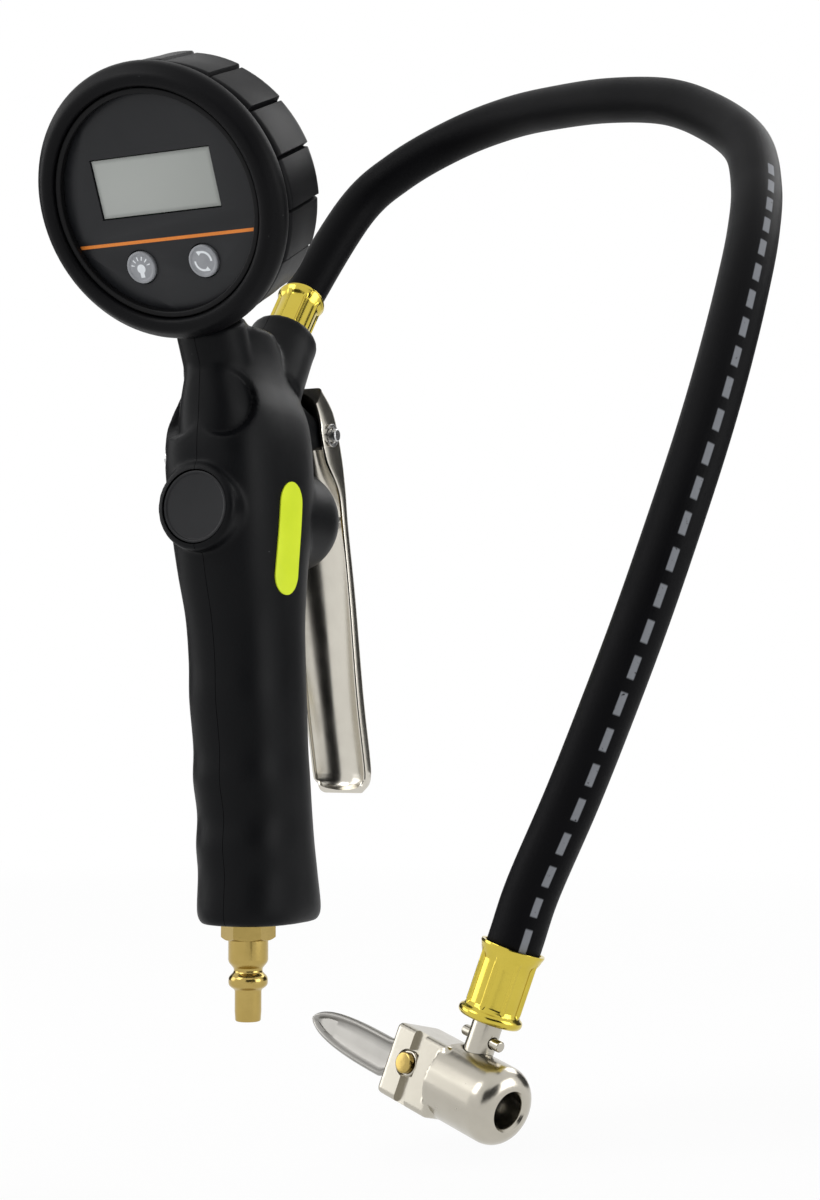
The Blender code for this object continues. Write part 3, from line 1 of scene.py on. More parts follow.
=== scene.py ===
"""Looks of the tyre inflator: finer skins, finishes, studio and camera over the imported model.

Every size is in metres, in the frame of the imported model: the origin is the tip of the inlet plug,
+Z runs up the grip, +Y forward to the trigger side and +X to the user's right.
"""

import logging
from dataclasses import dataclass
from enum import Enum
from functools import lru_cache
from math import cos, pi, radians, sin, sqrt
from typing import Iterable, Optional, Sequence, Union

import bmesh
import bpy
from mathutils import Matrix, Vector
from mathutils.bvhtree import BVHTree


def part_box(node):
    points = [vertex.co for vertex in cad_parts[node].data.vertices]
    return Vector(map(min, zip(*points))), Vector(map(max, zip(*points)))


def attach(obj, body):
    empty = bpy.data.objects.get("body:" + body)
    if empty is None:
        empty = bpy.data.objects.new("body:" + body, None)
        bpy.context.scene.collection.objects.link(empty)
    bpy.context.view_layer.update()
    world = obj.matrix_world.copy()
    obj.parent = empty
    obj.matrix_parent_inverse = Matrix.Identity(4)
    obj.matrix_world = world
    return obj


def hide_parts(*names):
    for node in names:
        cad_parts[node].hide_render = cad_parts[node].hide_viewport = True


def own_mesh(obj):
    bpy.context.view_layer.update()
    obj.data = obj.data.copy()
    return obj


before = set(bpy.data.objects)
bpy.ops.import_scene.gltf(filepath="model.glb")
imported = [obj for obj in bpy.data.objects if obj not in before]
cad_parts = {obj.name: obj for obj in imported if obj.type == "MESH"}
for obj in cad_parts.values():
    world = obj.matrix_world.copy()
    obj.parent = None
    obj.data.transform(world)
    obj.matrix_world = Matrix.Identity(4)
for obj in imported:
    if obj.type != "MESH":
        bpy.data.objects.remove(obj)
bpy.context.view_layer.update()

log = logging.getLogger("inflator")

Obj = bpy.types.Object
Faces = bmesh.types.BMesh
Colour = tuple[float, float, float]
Point = tuple[float, float, float]
Rows = tuple[tuple[float, ...], ...]
Profile = list[tuple[float, float]]

RIGHT = Vector((1.0, 0.0, 0.0))
FORWARD = Vector((0.0, 1.0, 0.0))
UP = Vector((0.0, 0.0, 1.0))
GAP = 0.0003  # between pieces that stay still
RUNNING = 0.00035  # round a pin that a piece turns on
THROUGH = 0.02  # reach of a cutter that goes right through
PIVOT = (0.0, 0.0325, 0.1789)  # of the trigger
PORT = Vector((0.0, 0.0225, 0.2105))  # mouth of the hose port
PORT_RISE = radians(52.0)
PORT_AXIS = Vector((0.0, cos(PORT_RISE), sin(PORT_RISE)))
STEM_FOOT = Vector((0.0, -0.0176, 0.1928))  # of the gauge's stem
LEAN = radians(25.0)  # of the gauge, backwards
GAUGE_UP = Vector((0.0, -sin(LEAN), cos(LEAN)))


class Body(Enum):
    """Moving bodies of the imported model."""

    GUN = "body"
    TRIGGER = "trigger"
    LIGHT_KEY = "light_key"
    UNIT_KEY = "unit_key"
    THUMB = "thumb"


class Icon(Enum):
    """Plain symbols that the gauge's two keys carry."""

    LAMP = "lamp"
    ARROWS = "arrows"


# ---------------------------------------------------------------- shader sheets


class Wire:
    """Output socket of a node, so that shader maths reads as Python expressions."""

    def __init__(self, sheet: "Sheet", socket: bpy.types.NodeSocket) -> None:
        """Keeps the sheet and the socket."""
        self.sheet, self.socket = sheet, socket

    def maths(self, operation: str, *others: "Term", swapped: bool = False) -> "Wire":
        """Adds one Math node.

        Args:
            operation: Name of the Math node's operation.
            others: Further operands.
            swapped: Whether this wire goes behind the others.

        Returns:
            The node's result.
        """
        terms = [*others, self] if swapped else [self, *others]
        return self.sheet.wire("ShaderNodeMath", {"operation": operation}, dict(enumerate(terms)))

    def __add__(self, other: "Term") -> "Wire":
        """Sum."""
        return self.maths("ADD", other)

    def __sub__(self, other: "Term") -> "Wire":
        """Difference."""
        return self.maths("SUBTRACT", other)

    def __rsub__(self, other: float) -> "Wire":
        """Difference from a number."""
        return self.maths("SUBTRACT", other, swapped=True)

    def __mul__(self, other: "Term") -> "Wire":
        """Product."""
        return self.maths("MULTIPLY", other)

    def __truediv__(self, other: "Term") -> "Wire":
        """Quotient."""
        return self.maths("DIVIDE", other)

    def __abs__(self) -> "Wire":
        """Size without its sign."""
        return self.maths("ABSOLUTE")

    __radd__, __rmul__ = __add__, __mul__

    def below(self, edge: "Term", soft: float) -> "Wire":
        """Mask that is 1 under an edge and fades to 0 over a soft band."""
        return ((edge - self) / soft + 0.5).clamp()

    def above(self, edge: float, soft: float) -> "Wire":
        """Mask that is 1 over an edge and fades to 0 over a soft band."""
        return ((self - edge) / soft + 0.5).clamp()

    def clamp(self) -> "Wire":
        """The value held between 0 and 1."""
        return self.maths("MINIMUM", 1.0).maths("MAXIMUM", 0.0)


Term = Union[Wire, float]


class Sheet:
    """Node sheet of one new material or world."""

    def __init__(self, name: str, world: bool = False) -> None:
        """Starts an empty sheet.

        Args:
            name: Name of the new material or world.
            world: Whether it is a world.
        """
        self.owner = (bpy.data.worlds if world else bpy.data.materials).new(name)
        self.owner.use_nodes = True
        self.tree = self.owner.node_tree
        self.tree.nodes.clear()

    def node(
        self, kind: str, settings: Optional[dict] = None, sockets: Optional[dict] = None
    ) -> bpy.types.Node:
        """Adds a node: the one way in which this script makes them.

        Args:
            kind: Blender's name of the node type.
            settings: Properties, which are set first.
            sockets: Values or wires of the inputs, by name or place.

        Returns:
            The new node.
        """
        made = self.tree.nodes.new(kind)
        for key, value in (settings or {}).items():
            setattr(made, key, value)
        for key, value in (sockets or {}).items():
            if isinstance(value, Wire):
                self.tree.links.new(value.socket, made.inputs[key])
            else:
                made.inputs[key].default_value = value
        return made

    def wire(self, kind: str, settings: Optional[dict], sockets: dict, output: Union[int, str] = 0) -> Wire:
        """One output of a new node."""
        return Wire(self, self.node(kind, settings, sockets).outputs[output])

    def place(self, kind: str = "Object") -> Wire:
        """Texture coordinates of this kind."""
        return self.wire("ShaderNodeTexCoord", None, {}, kind)

    def parts(self, vector: Wire) -> list[Wire]:
        """X, Y and Z of a vector."""
        split = self.node("ShaderNodeSeparateXYZ", None, {0: vector})
        return [Wire(self, socket) for socket in split.outputs]

    def stretch(self, vector: Wire, scale: Point) -> Wire:
        """Vector scaled along each axis."""
        return self.wire("ShaderNodeVectorMath", {"operation": "MULTIPLY"}, {0: vector, 1: scale})

    def noise(self, vector: Wire, scale: float, detail: float = 2.0, rough: float = 0.5) -> Wire:
        """Noise of this scale, from 0 to 1."""
        sockets = {"Vector": vector, "Scale": scale, "Detail": detail, "Roughness": rough}
        return self.wire("ShaderNodeTexNoise", None, sockets, "Fac")

    def cells(self, vector: Wire, scale: float) -> Wire:
        """Distance to the nearest of many scattered points."""
        return self.wire("ShaderNodeTexVoronoi", None, {"Vector": vector, "Scale": scale}, "Distance")

    def mix(self, share: Term, *colours: Union[Wire, Colour]) -> Wire:
        """Colour between two others."""
        first, second = [value if isinstance(value, Wire) else (*value, 1.0) for value in colours]
        return self.wire("ShaderNodeMix", {"data_type": "RGBA"}, {0: share, 6: first, 7: second}, 2)

    def bump(self, height: Wire, distance: float) -> Wire:
        """Normal over a height field, in metres per unit of height."""
        return self.wire("ShaderNodeBump", None, {"Height": height, "Distance": distance})

    def close(self, sockets: dict) -> bpy.types.Material:
        """Ends the sheet in a Principled shader with these inputs."""
        self.node("ShaderNodeOutputMaterial", None, {0: self.wire("ShaderNodeBsdfPrincipled", None, sockets)})
        return self.owner


# ---------------------------------------------------------------- finishes


@dataclass(frozen=True)
class Moulded:
    """Moulded plastic or rubber: fine grain, uneven sheen and a little dust."""

    name: str
    colour: Colour
    roughness: float
    grain: float
    grain_scale: float
    specular: float = 0.35
    dust: float = 0.0

    @lru_cache(maxsize=None)
    def paint(self) -> bpy.types.Material:
        """Paints this finish.

        Returns:
            Its material.
        """
        sheet = Sheet(self.name)
        place = sheet.place()
        cloud = sheet.noise(place, 70.0, 3.0)
        fine = sheet.noise(place, self.grain_scale)
        pale = tuple(min(c * 1.7 + 0.001, 1.0) for c in self.colour)
        colour = sheet.mix(cloud * 0.55, self.colour, pale)
        if self.dust > 0.0:
            specks = sheet.cells(place, 260.0).below(0.045, 0.02) * sheet.noise(place, 40.0).above(0.62, 0.1)
            colour = sheet.mix(specks * self.dust, colour, (0.42, 0.42, 0.43))
        return sheet.close({
            "Base Color": colour,
            "Roughness": (self.roughness + (cloud - 0.5) * 0.16 + (fine - 0.5) * 0.10).clamp(),
            "Specular IOR Level": self.specular,
            "Normal": sheet.bump(fine, self.grain),
        })


@dataclass(frozen=True)
class Metal:
    """Plated or turned metal: tool lines, cloudy gloss and faint handling marks."""

    name: str
    colour: Colour
    shade: Colour
    roughness: float
    lines: Point = (1.0, 1.0, 1.0)
    line_scale: float = 900.0
    relief: float = 0.0000006
    wear: float = 0.03

    @lru_cache(maxsize=None)
    def paint(self) -> bpy.types.Material:
        """Paints this finish.

        Returns:
            Its material.
        """
        sheet = Sheet(self.name)
        place = sheet.place()
        tool = sheet.noise(sheet.stretch(place, self.lines), self.line_scale, 3.0, 0.6)
        cloud = sheet.noise(place, 160.0, 4.0, 0.6)
        marks = sheet.noise(sheet.stretch(place, (1.0, 0.35, 2.4)), 420.0).above(0.66, 0.08)
        return sheet.close({
            "Base Color": sheet.mix((cloud * 0.55 + tool * 0.18).clamp(), self.colour, self.shade),
            "Metallic": 1.0,
            "Roughness": (self.roughness + (cloud - 0.5) * 0.14 + marks * self.wear).clamp(),
            "Normal": sheet.bump(tool, self.relief),
        })


@dataclass(frozen=True)
class HoseRubber:
    """Extruded hose rubber with a plain broken line along it, in hose coordinates."""

    name: str = "hose rubber"
    colour: Colour = (0.0012, 0.0012, 0.0018)
    pale: Colour = (0.0030, 0.0030, 0.0038)
    ink: Colour = (0.22, 0.23, 0.25)
    dash: float = 0.0085
    share: float = 0.66
    half_width: float = 0.022
    side: float = -0.045
    start: float = 0.262

    @lru_cache(maxsize=None)
    def paint(self) -> bpy.types.Material:
        """Paints this finish.

        Returns:
            Its material.
        """
        sheet = Sheet(self.name)
        hose, place = sheet.place("UV"), sheet.place()
        along, around, _ = sheet.parts(hose)
        fine = sheet.noise(place, 3800.0)
        cloud = sheet.noise(place, 55.0, 3.0)
        drawn = sheet.noise(sheet.stretch(hose, (6.0, 160.0, 1.0)), 6.0)
        step = (along / self.dash).maths("FRACT")
        line = step.below(self.share, 0.05) * step.above(0.04, 0.05) * along.above(self.start, 0.001)
        line = line * abs(around - (0.5 + self.side)).below(self.half_width, 0.006)
        worn = line * sheet.noise(place, 900.0, 3.0).above(0.30, 0.12)
        return sheet.close({
            "Base Color": sheet.mix(worn * 0.92, sheet.mix(cloud * 0.6, self.colour, self.pale), self.ink),
            "Roughness": (0.42 + (cloud - 0.5) * 0.16 + fine * 0.08).clamp(),
            "Specular IOR Level": 0.06,
            "Normal": sheet.bump(fine * 0.7 + drawn * 0.8, 0.00004),
        })


@dataclass(frozen=True)
class FacePrint:
    """Charcoal gauge face with one printed band below the display."""

    name: str = "gauge face"
    colour: Colour = (0.010, 0.0105, 0.012)
    pale: Colour = (0.018, 0.019, 0.022)
    band: Colour = (0.72, 0.22, 0.035)
    band_y: float = -0.0104
    band_half: float = 0.00048

    @lru_cache(maxsize=None)
    def paint(self) -> bpy.types.Material:
        """Paints this finish.

        Returns:
            Its material.
        """
        sheet = Sheet(self.name)
        place = sheet.place()
        fine = sheet.noise(place, 6000.0)
        cloud = sheet.noise(place, 90.0, 3.0)
        band = abs(sheet.parts(place)[1] - self.band_y).below(self.band_half, 0.00012)
        specks = sheet.cells(place, 190.0).below(0.03, 0.015) * sheet.noise(place, 60.0).above(0.64, 0.08)
        base = sheet.mix(specks * 0.35, sheet.mix(cloud * 0.5, self.colour, self.pale), (0.40, 0.40, 0.41))
        return sheet.close({
            "Base Color": sheet.mix(band, base, self.band),
            "Roughness": (0.36 + (cloud - 0.5) * 0.14 + band * 0.10).clamp(),
            "Specular IOR Level": 0.26,
            "Normal": sheet.bump(fine + band * 0.8, 0.00002),
        })


@dataclass(frozen=True)
class Display:
    """Switched-off display: grey-green with a faint sheen and a darker edge."""

    name: str = "display glass"
    colour: Colour = (0.330, 0.348, 0.330)
    pale: Colour = (0.365, 0.378, 0.362)
    edge: Colour = (0.250, 0.265, 0.250)
    half_x: float = 0.0195
    half_y: float = 0.0084
    centre_y: float = 0.0055
    rim: float = 0.0009

    @lru_cache(maxsize=None)
    def paint(self) -> bpy.types.Material:
        """Paints this finish.

        Returns:
            Its material.
        """
        sheet = Sheet(self.name)
        place = sheet.place()
        x, y, _ = sheet.parts(place)
        rim_x = abs(x).above(self.half_x - self.rim, 0.0008)
        rim_y = abs(y - self.centre_y).above(self.half_y - self.rim, 0.0008)
        cloud = sheet.noise(place, 45.0)
        tint = sheet.mix(cloud * 0.5, self.colour, self.pale)
        return sheet.close({
            "Base Color": sheet.mix(rim_x.maths("MAXIMUM", rim_y) * 0.8, tint, self.edge),
            "Roughness": (0.30 + (cloud - 0.5) * 0.1).clamp(),
            "Specular IOR Level": 0.4,
            "Coat Weight": 0.25,
        })


@dataclass(frozen=True)
class KeyPrint:
    """Satin key with one pale symbol printed on its top."""

    name: str
    icon: Icon
    colour: Colour = (0.200, 0.208, 0.225)
    pale: Colour = (0.34, 0.35, 0.37)
    ink: Colour = (0.72, 0.75, 0.78)
    soft: float = 0.00014
    size: float = 1.28
    circle: float = 0.00205

    def mask(self, x: Wire, y: Wire) -> Wire:
        """Symbol's mask over the key.

        Args:
            x: Place across the key.
            y: Place up the key.

        Returns:
            1 inside the symbol and 0 outside it.
        """
        x, y = x / self.size, y / self.size
        from_circle = abs((x * x + y * y).maths("SQRT") - self.circle)
        angle = y.maths("ARCTAN2", x)
        if self.icon is Icon.ARROWS:
            turn = (angle / pi + 0.12).maths("FRACT")
            thick = 0.00024 + (turn - 0.66).maths("MAXIMUM", 0.0) * 0.0024
            return from_circle.below(thick, self.soft) * turn.below(0.80, 0.02) * turn.above(0.10, 0.02)
        lift = y + 0.0003
        bulb = (x * x + lift * lift).maths("SQRT").below(0.00105, self.soft)
        foot = abs(x).below(0.00052, self.soft) * abs(y + 0.0016).below(0.00072, self.soft)
        ray = abs((angle / (pi / 6.0)).maths("FRACT") - 0.5).below(0.13, 0.06)
        ray = ray * from_circle.below(0.00045, self.soft) * y.above(0.0004, self.soft)
        return (bulb + foot + ray).clamp()

    @lru_cache(maxsize=None)
    def paint(self) -> bpy.types.Material:
        """Paints this finish.

        Returns:
            Its material.
        """
        sheet = Sheet(self.name)
        place = sheet.place()
        symbol = self.mask(*sheet.parts(place)[:2])
        cloud = sheet.noise(place, 500.0, 3.0)
        return sheet.close({
            "Base Color": sheet.mix(symbol, sheet.mix(cloud * 0.7, self.colour, self.pale), self.ink),
            "Roughness": (0.34 + (cloud - 0.5) * 0.2).clamp(),
            "Specular IOR Level": 0.5,
            "Normal": sheet.bump(cloud + symbol * 0.6, 0.00003),
        })


class Look(Enum):
    """Finishes of this object."""

    CASING = Moulded("soft touch casing", (0.0020, 0.0022, 0.0028), 0.42, 0.00003, 4800.0, 0.10, 0.30)
    MOULDED = Moulded("moulded black", (0.0045, 0.0045, 0.005), 0.42, 0.00002, 6000.0, 0.12)
    CAP = Moulded("cap plate", (0.013, 0.0133, 0.0145), 0.38, 0.00002, 7000.0, 0.18)
    RUBBER = Moulded("boot rubber", (0.0024, 0.0024, 0.0030), 0.42, 0.00005, 3600.0, 0.09, 0.12)
    SEAL = Moulded("seal rubber", (0.010, 0.010, 0.010), 0.60, 0.00004, 4200.0)
    LIME = Moulded("lime film", (0.540, 0.690, 0.020), 0.36, 0.00001, 5000.0, 0.45)
    BOARD = Moulded("solder mask", (0.03, 0.20, 0.08), 0.40, 0.00004, 900.0)
    HOSE = HoseRubber()
    FACE = FacePrint()
    DISPLAY = Display()
    LIGHT_KEY = KeyPrint("light key", Icon.LAMP)
    UNIT_KEY = KeyPrint("unit key", Icon.ARROWS)
    FERRULE = Metal("ferrule brass", (0.66, 0.53, 0.090), (0.48, 0.37, 0.040), 0.17, (1, 1, 4), 700.0)
    PLUG = Metal("plug brass", (0.50, 0.37, 0.125), (0.34, 0.24, 0.060), 0.18, (0.4, 0.4, 9.0))
    CHROME = Metal(
        "lever chrome", (0.64, 0.61, 0.54), (0.54, 0.51, 0.45), 0.20, (6, 1, 1), 260.0, 0.0000003, 0.01
    )
    NICKEL = Metal("nickel plate", (0.52, 0.49, 0.425), (0.40, 0.375, 0.315), 0.23, line_scale=700.0)
    # Darker copy of the nickel plate for the thumb lever: its rougher brushed finish is real, its lower
    # colour is painted shade of the spoon's dish.
    SPOON_SHADED = Metal("spoon plate darkened as shade", (0.36, 0.35, 0.33), (0.29, 0.28, 0.26), 0.36, line_scale=1200.0)
    STEEL = Metal("plain steel", (0.62, 0.62, 0.62), (0.50, 0.50, 0.50), 0.28, (1, 1, 6))
    # Cast metal of the valve block, painted dark as shade where its lower end shows at the casing's bottom
    # edge.
    CAST_SHADED = Metal("cast aluminium", (0.17, 0.17, 0.18), (0.12, 0.12, 0.13), 0.48, (1, 1, 1), 1500.0, 0.00002)

    def cover(self, obj: Obj) -> None:
        """Makes this the one finish of an object."""
        obj.data.materials.clear()
        obj.data.materials.append(self.value.paint())


CARRIED = {
    Look.STEEL: "casing_screw_1 casing_screw_2 casing_screw_3 valve_stem battery chuck_jaw valve_depressor",
    # The valve block's dark cast finish is painted shade.
    Look.CAST_SHADED: "valve_block",
    Look.PLUG: "valve_plug valve_bush gauge_stem hose_port_fitting",
    Look.SEAL: "pin_o_ring poppet_seal stem_o_ring button_pad chuck_seal",
    Look.MOULDED: "gauge_case battery_cover",
    Look.BOARD: "circuit_board",
}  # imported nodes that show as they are

# ---------------------------------------------------------------- mesh tools


def smooth(low: float, high: float, value: float) -> float:
    """Smooth step from 0 at low to 1 at high."""
    t = min(max((value - low) / (high - low), 0.0), 1.0)
    return t * t * (3.0 - 2.0 * t)


def axes(origin: Vector, x_axis: Vector, z_axis: Vector) -> Matrix:
    """World matrix from two directions.

    Args:
        origin: Its place.
        x_axis: Direction that X leans to.
        z_axis: Direction of Z.

    Returns:
        The matrix.
    """
    z = z_axis.normalized()
    x = (x_axis - z * x_axis.dot(z)).normalized()
    matrix = Matrix((x, z.cross(x), z)).transposed().to_4x4()
    matrix.translation = origin
    return matrix


def link(name: str, data: bpy.types.ID) -> Obj:
    """Puts a new object in the scene.

    Args:
        name: Its name.
        data: Its mesh, camera or light.

    Returns:
        The object.
    """
    obj = bpy.data.objects.new(name, data)
    bpy.context.scene.collection.objects.link(obj)
    return obj


def shade(obj: Obj, sharp: float = 38.0) -> Obj:
    """Shades an object smooth.

    Args:
        obj: The object.
        sharp: Angle in degrees above which an edge stays crisp.

    Returns:
        The same object.
    """
    obj.data.shade_smooth()
    obj.data.set_sharp_from_angle(angle=radians(sharp))
    return obj


def add(name: str, faces: Faces, place: Optional[Matrix] = None, sharp: float = 38.0) -> Obj:
    """Object from faces.

    Args:
        name: Name of the object.
        faces: Its faces, which are freed.
        place: Its frame.
        sharp: Angle in degrees above which an edge stays crisp.

    Returns:
        The new object, in the scene.
    """
    bmesh.ops.recalc_face_normals(faces, faces=faces.faces[:])
    data = bpy.data.meshes.new(name)
    faces.to_mesh(data)
    faces.free()
    obj = link(name, data)
    if place is not None:
        obj.matrix_world = place
    return shade(obj, sharp)


def skin(rings: Sequence[Sequence[Sequence[float]]], closed: bool = False) -> Faces:
    """Faces over rings of points.

    Args:
        rings: Rings of as many points each.
        closed: Whether the last ring joins the first; otherwise both ends are capped.

    Returns:
        The closed surface.
    """
    faces = bmesh.new()
    loops = [[faces.verts.new(point) for point in ring] for ring in rings]
    pairs = list(zip(loops, loops[1:]))
    if closed:
        pairs.append((loops[-1], loops[0]))
    for lower, upper in pairs:
        for i in range(len(lower)):
            faces.faces.new((lower[i - 1], lower[i], upper[i], upper[i - 1]))
    if not closed:
        faces.faces.new(loops[0])
        faces.faces.new(loops[-1])
    return faces


def plane(half_x: float, half_y: float, z: float = 0.0) -> Faces:
    """One flat rectangle.

    Args:
        half_x: Half of its width.
        half_y: Half of its depth.
        z: Its height.

    Returns:
        Its face.
    """
    faces = bmesh.new()
    corners = ((-1, -1), (1, -1), (1, 1), (-1, 1))
    faces.faces.new([faces.verts.new((x * half_x, y * half_y, z)) for x, y in corners])
    return faces


def fillet(corners: Iterable[Sequence[float]], steps: int = 4, ring: bool = False) -> Profile:
    """Profile whose corners are rounded.

    Args:
        corners: Radius, height and, where the corner is rounded, the size of the round.
        steps: Points in each round, less one.
        ring: Whether the profile closes on itself.

    Returns:
        Points of the profile.
    """
    points = list(corners)
    out: Profile = []
    for i, corner in enumerate(points):
        here = Vector(corner[:2])
        size = corner[2] if len(corner) > 2 else 0.0
        if size <= 0.0 or (not ring and i in (0, len(points) - 1)):
            out.append((here.x, here.y))
            continue
        to_last = Vector(points[i - 1][:2]) - here
        to_next = Vector(points[(i + 1) % len(points)][:2]) - here
        reach = min(size, to_last.length * 0.49, to_next.length * 0.49)
        start = here + to_last.normalized() * reach
        end = here + to_next.normalized() * reach
        for step in range(steps + 1):
            t = step / steps
            spot = start * (1.0 - t) ** 2 + here * 2.0 * t * (1.0 - t) + end * t**2
            out.append((spot.x, spot.y))
    return out


def rounded(radius: float, high: float, size: float, steps: int) -> Profile:
    """Profile of a rod's rounded end."""
    angles = [pi / 2.0 * i / steps for i in range(steps + 1)]
    return [(radius - size * (1.0 - cos(a)), high - size * (1.0 - sin(a))) for a in angles]


def turned(profile: Sequence[tuple[float, float]], sides: int = 64, closed: bool = False) -> Faces:
    """Faces turned about Z from (radius, z) points."""
    angles = [2.0 * pi * i / sides for i in range(sides)]
    return skin([[(r * cos(a), r * sin(a), z) for a in angles] for r, z in profile], closed)


def lathe(
    name: str, corners: Rows, place: Optional[Matrix], sides: int, ring: bool = False, steps: int = 4
) -> Obj:
    """Object turned about Z from corners that fillet() rounds."""
    return add(name, turned(fillet(corners, steps, ring), sides, ring), place)


def rod(radius: float, low: float, high: float, place: Optional[Matrix] = None, sides: int = 64) -> Obj:
    """Plain rod along Z, mostly as a cutter."""
    return add("rod", turned(((radius, low), (radius, high)), sides), place)


def prism(outline: Sequence[tuple[float, float]], low: float, high: float) -> Faces:
    """Outline in X and Y drawn out along Z."""
    return skin([[(x, y, z) for x, y in outline] for z in (low, high)])


def box(low: Sequence[float], high: Sequence[float]) -> Faces:
    """Box between two corners."""
    (x0, y0, z0), (x1, y1, z1) = low, high
    return prism(((x0, y0), (x1, y0), (x1, y1), (x0, y1)), z0, z1)


def between(start: Vector, end: Vector, radius: float) -> Obj:
    """Rod from one point to another."""
    span = end - start
    return rod(radius, 0.0, span.length, axes(start, RIGHT, span))


def modify(obj: Obj, kind: str, **settings: object) -> None:
    """Puts a modifier on an object.

    Args:
        obj: The object.
        kind: Blender's name of the modifier type.
        settings: Properties of the modifier.
    """
    modifier = obj.modifiers.new(kind.lower(), kind)
    for key, value in settings.items():
        setattr(modifier, key, value)


def settle(obj: Obj, sharp: float = 38.0) -> Obj:
    """Turns an object's modifiers into its mesh.

    Args:
        obj: The object.
        sharp: Angle in degrees above which an edge stays crisp.

    Returns:
        The same object.
    """
    bpy.context.view_layer.update()
    data = bpy.data.meshes.new_from_object(obj.evaluated_get(bpy.context.evaluated_depsgraph_get()))
    obj.modifiers.clear()
    obj.data = data
    return shade(obj, sharp)


def melt(name: str, pieces: Sequence[Obj], voxel: float, passes: int) -> Obj:
    """Melts crossing forms into one even skin with soft joints.

    Args:
        name: Name of the result.
        pieces: Closed forms that may cross, which are used up.
        voxel: Size of the new faces.
        passes: Rounds of smoothing.

    Returns:
        The skin, at the origin.
    """
    faces = bmesh.new()
    for piece in pieces:
        piece.data.transform(piece.matrix_world)
        faces.from_mesh(piece.data)
        bpy.data.objects.remove(piece, do_unlink=True)
    data = bpy.data.meshes.new(name)
    faces.to_mesh(data)
    faces.free()
    obj = link(name, data)
    modify(obj, "REMESH", mode="VOXEL", voxel_size=voxel, use_smooth_shade=True)
    modify(obj, "SMOOTH", factor=0.5, iterations=passes)
    return settle(obj, 180.0)


def carve(obj: Obj, cutters: Sequence[Obj], operation: str = "DIFFERENCE") -> Obj:
    """Cuts, joins or crosses an object with others.

    Args:
        obj: The object.
        cutters: The others, which are used up.
        operation: Name of the Boolean modifier's operation.

    Returns:
        The same object.
    """
    for cutter in cutters:
        modify(obj, "BOOLEAN", operation=operation, solver="MANIFOLD", object=cutter)
    settle(obj)
    for cutter in cutters:
        bpy.data.objects.remove(cutter, do_unlink=True)
    return obj


def bevel(obj: Obj, width: float, segments: int = 2) -> Obj:
    """Rounds an object's crisp edges."""
    modify(obj, "BEVEL", width=width, segments=segments, limit_method="ANGLE", angle_limit=radians(35.0))
    return settle(obj, 40.0)


def curve_rows(rows: Sequence[Sequence[float]], steps: int) -> list[list[float]]:
    """Rows of numbers with smooth rows added between them.

    Args:
        rows: Rows that the curve goes through.
        steps: Rows from each to the next.

    Returns:
        All rows.
    """
    out: list[list[float]] = []
    last = len(rows) - 1
    for i in range(last):
        near = zip(rows[max(i - 1, 0)], rows[i], rows[i + 1], rows[min(i + 2, last)])
        bends = [(2 * b, c - a, 2 * a - 5 * b + 4 * c - d, 3 * b - a - 3 * c + d) for a, b, c, d in near]
        for t in (step / steps for step in range(steps)):
            out.append([0.5 * (p + q * t + r * t**2 + s * t**3) for p, q, r, s in bends])
    out.append(list(rows[last]))
    return out


def dress(obj: Obj, look: Look, body: Body, slot: str, *nodes: str) -> Obj:
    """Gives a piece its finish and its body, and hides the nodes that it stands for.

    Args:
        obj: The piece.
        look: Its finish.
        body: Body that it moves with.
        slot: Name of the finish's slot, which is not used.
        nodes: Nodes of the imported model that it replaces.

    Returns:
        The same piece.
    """
    look.cover(obj)
    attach(obj, body.value)
    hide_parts(*nodes)
    log.info("piece %s on %s", obj.name, body.value)
    return obj


# ---------------------------------------------------------------- studio


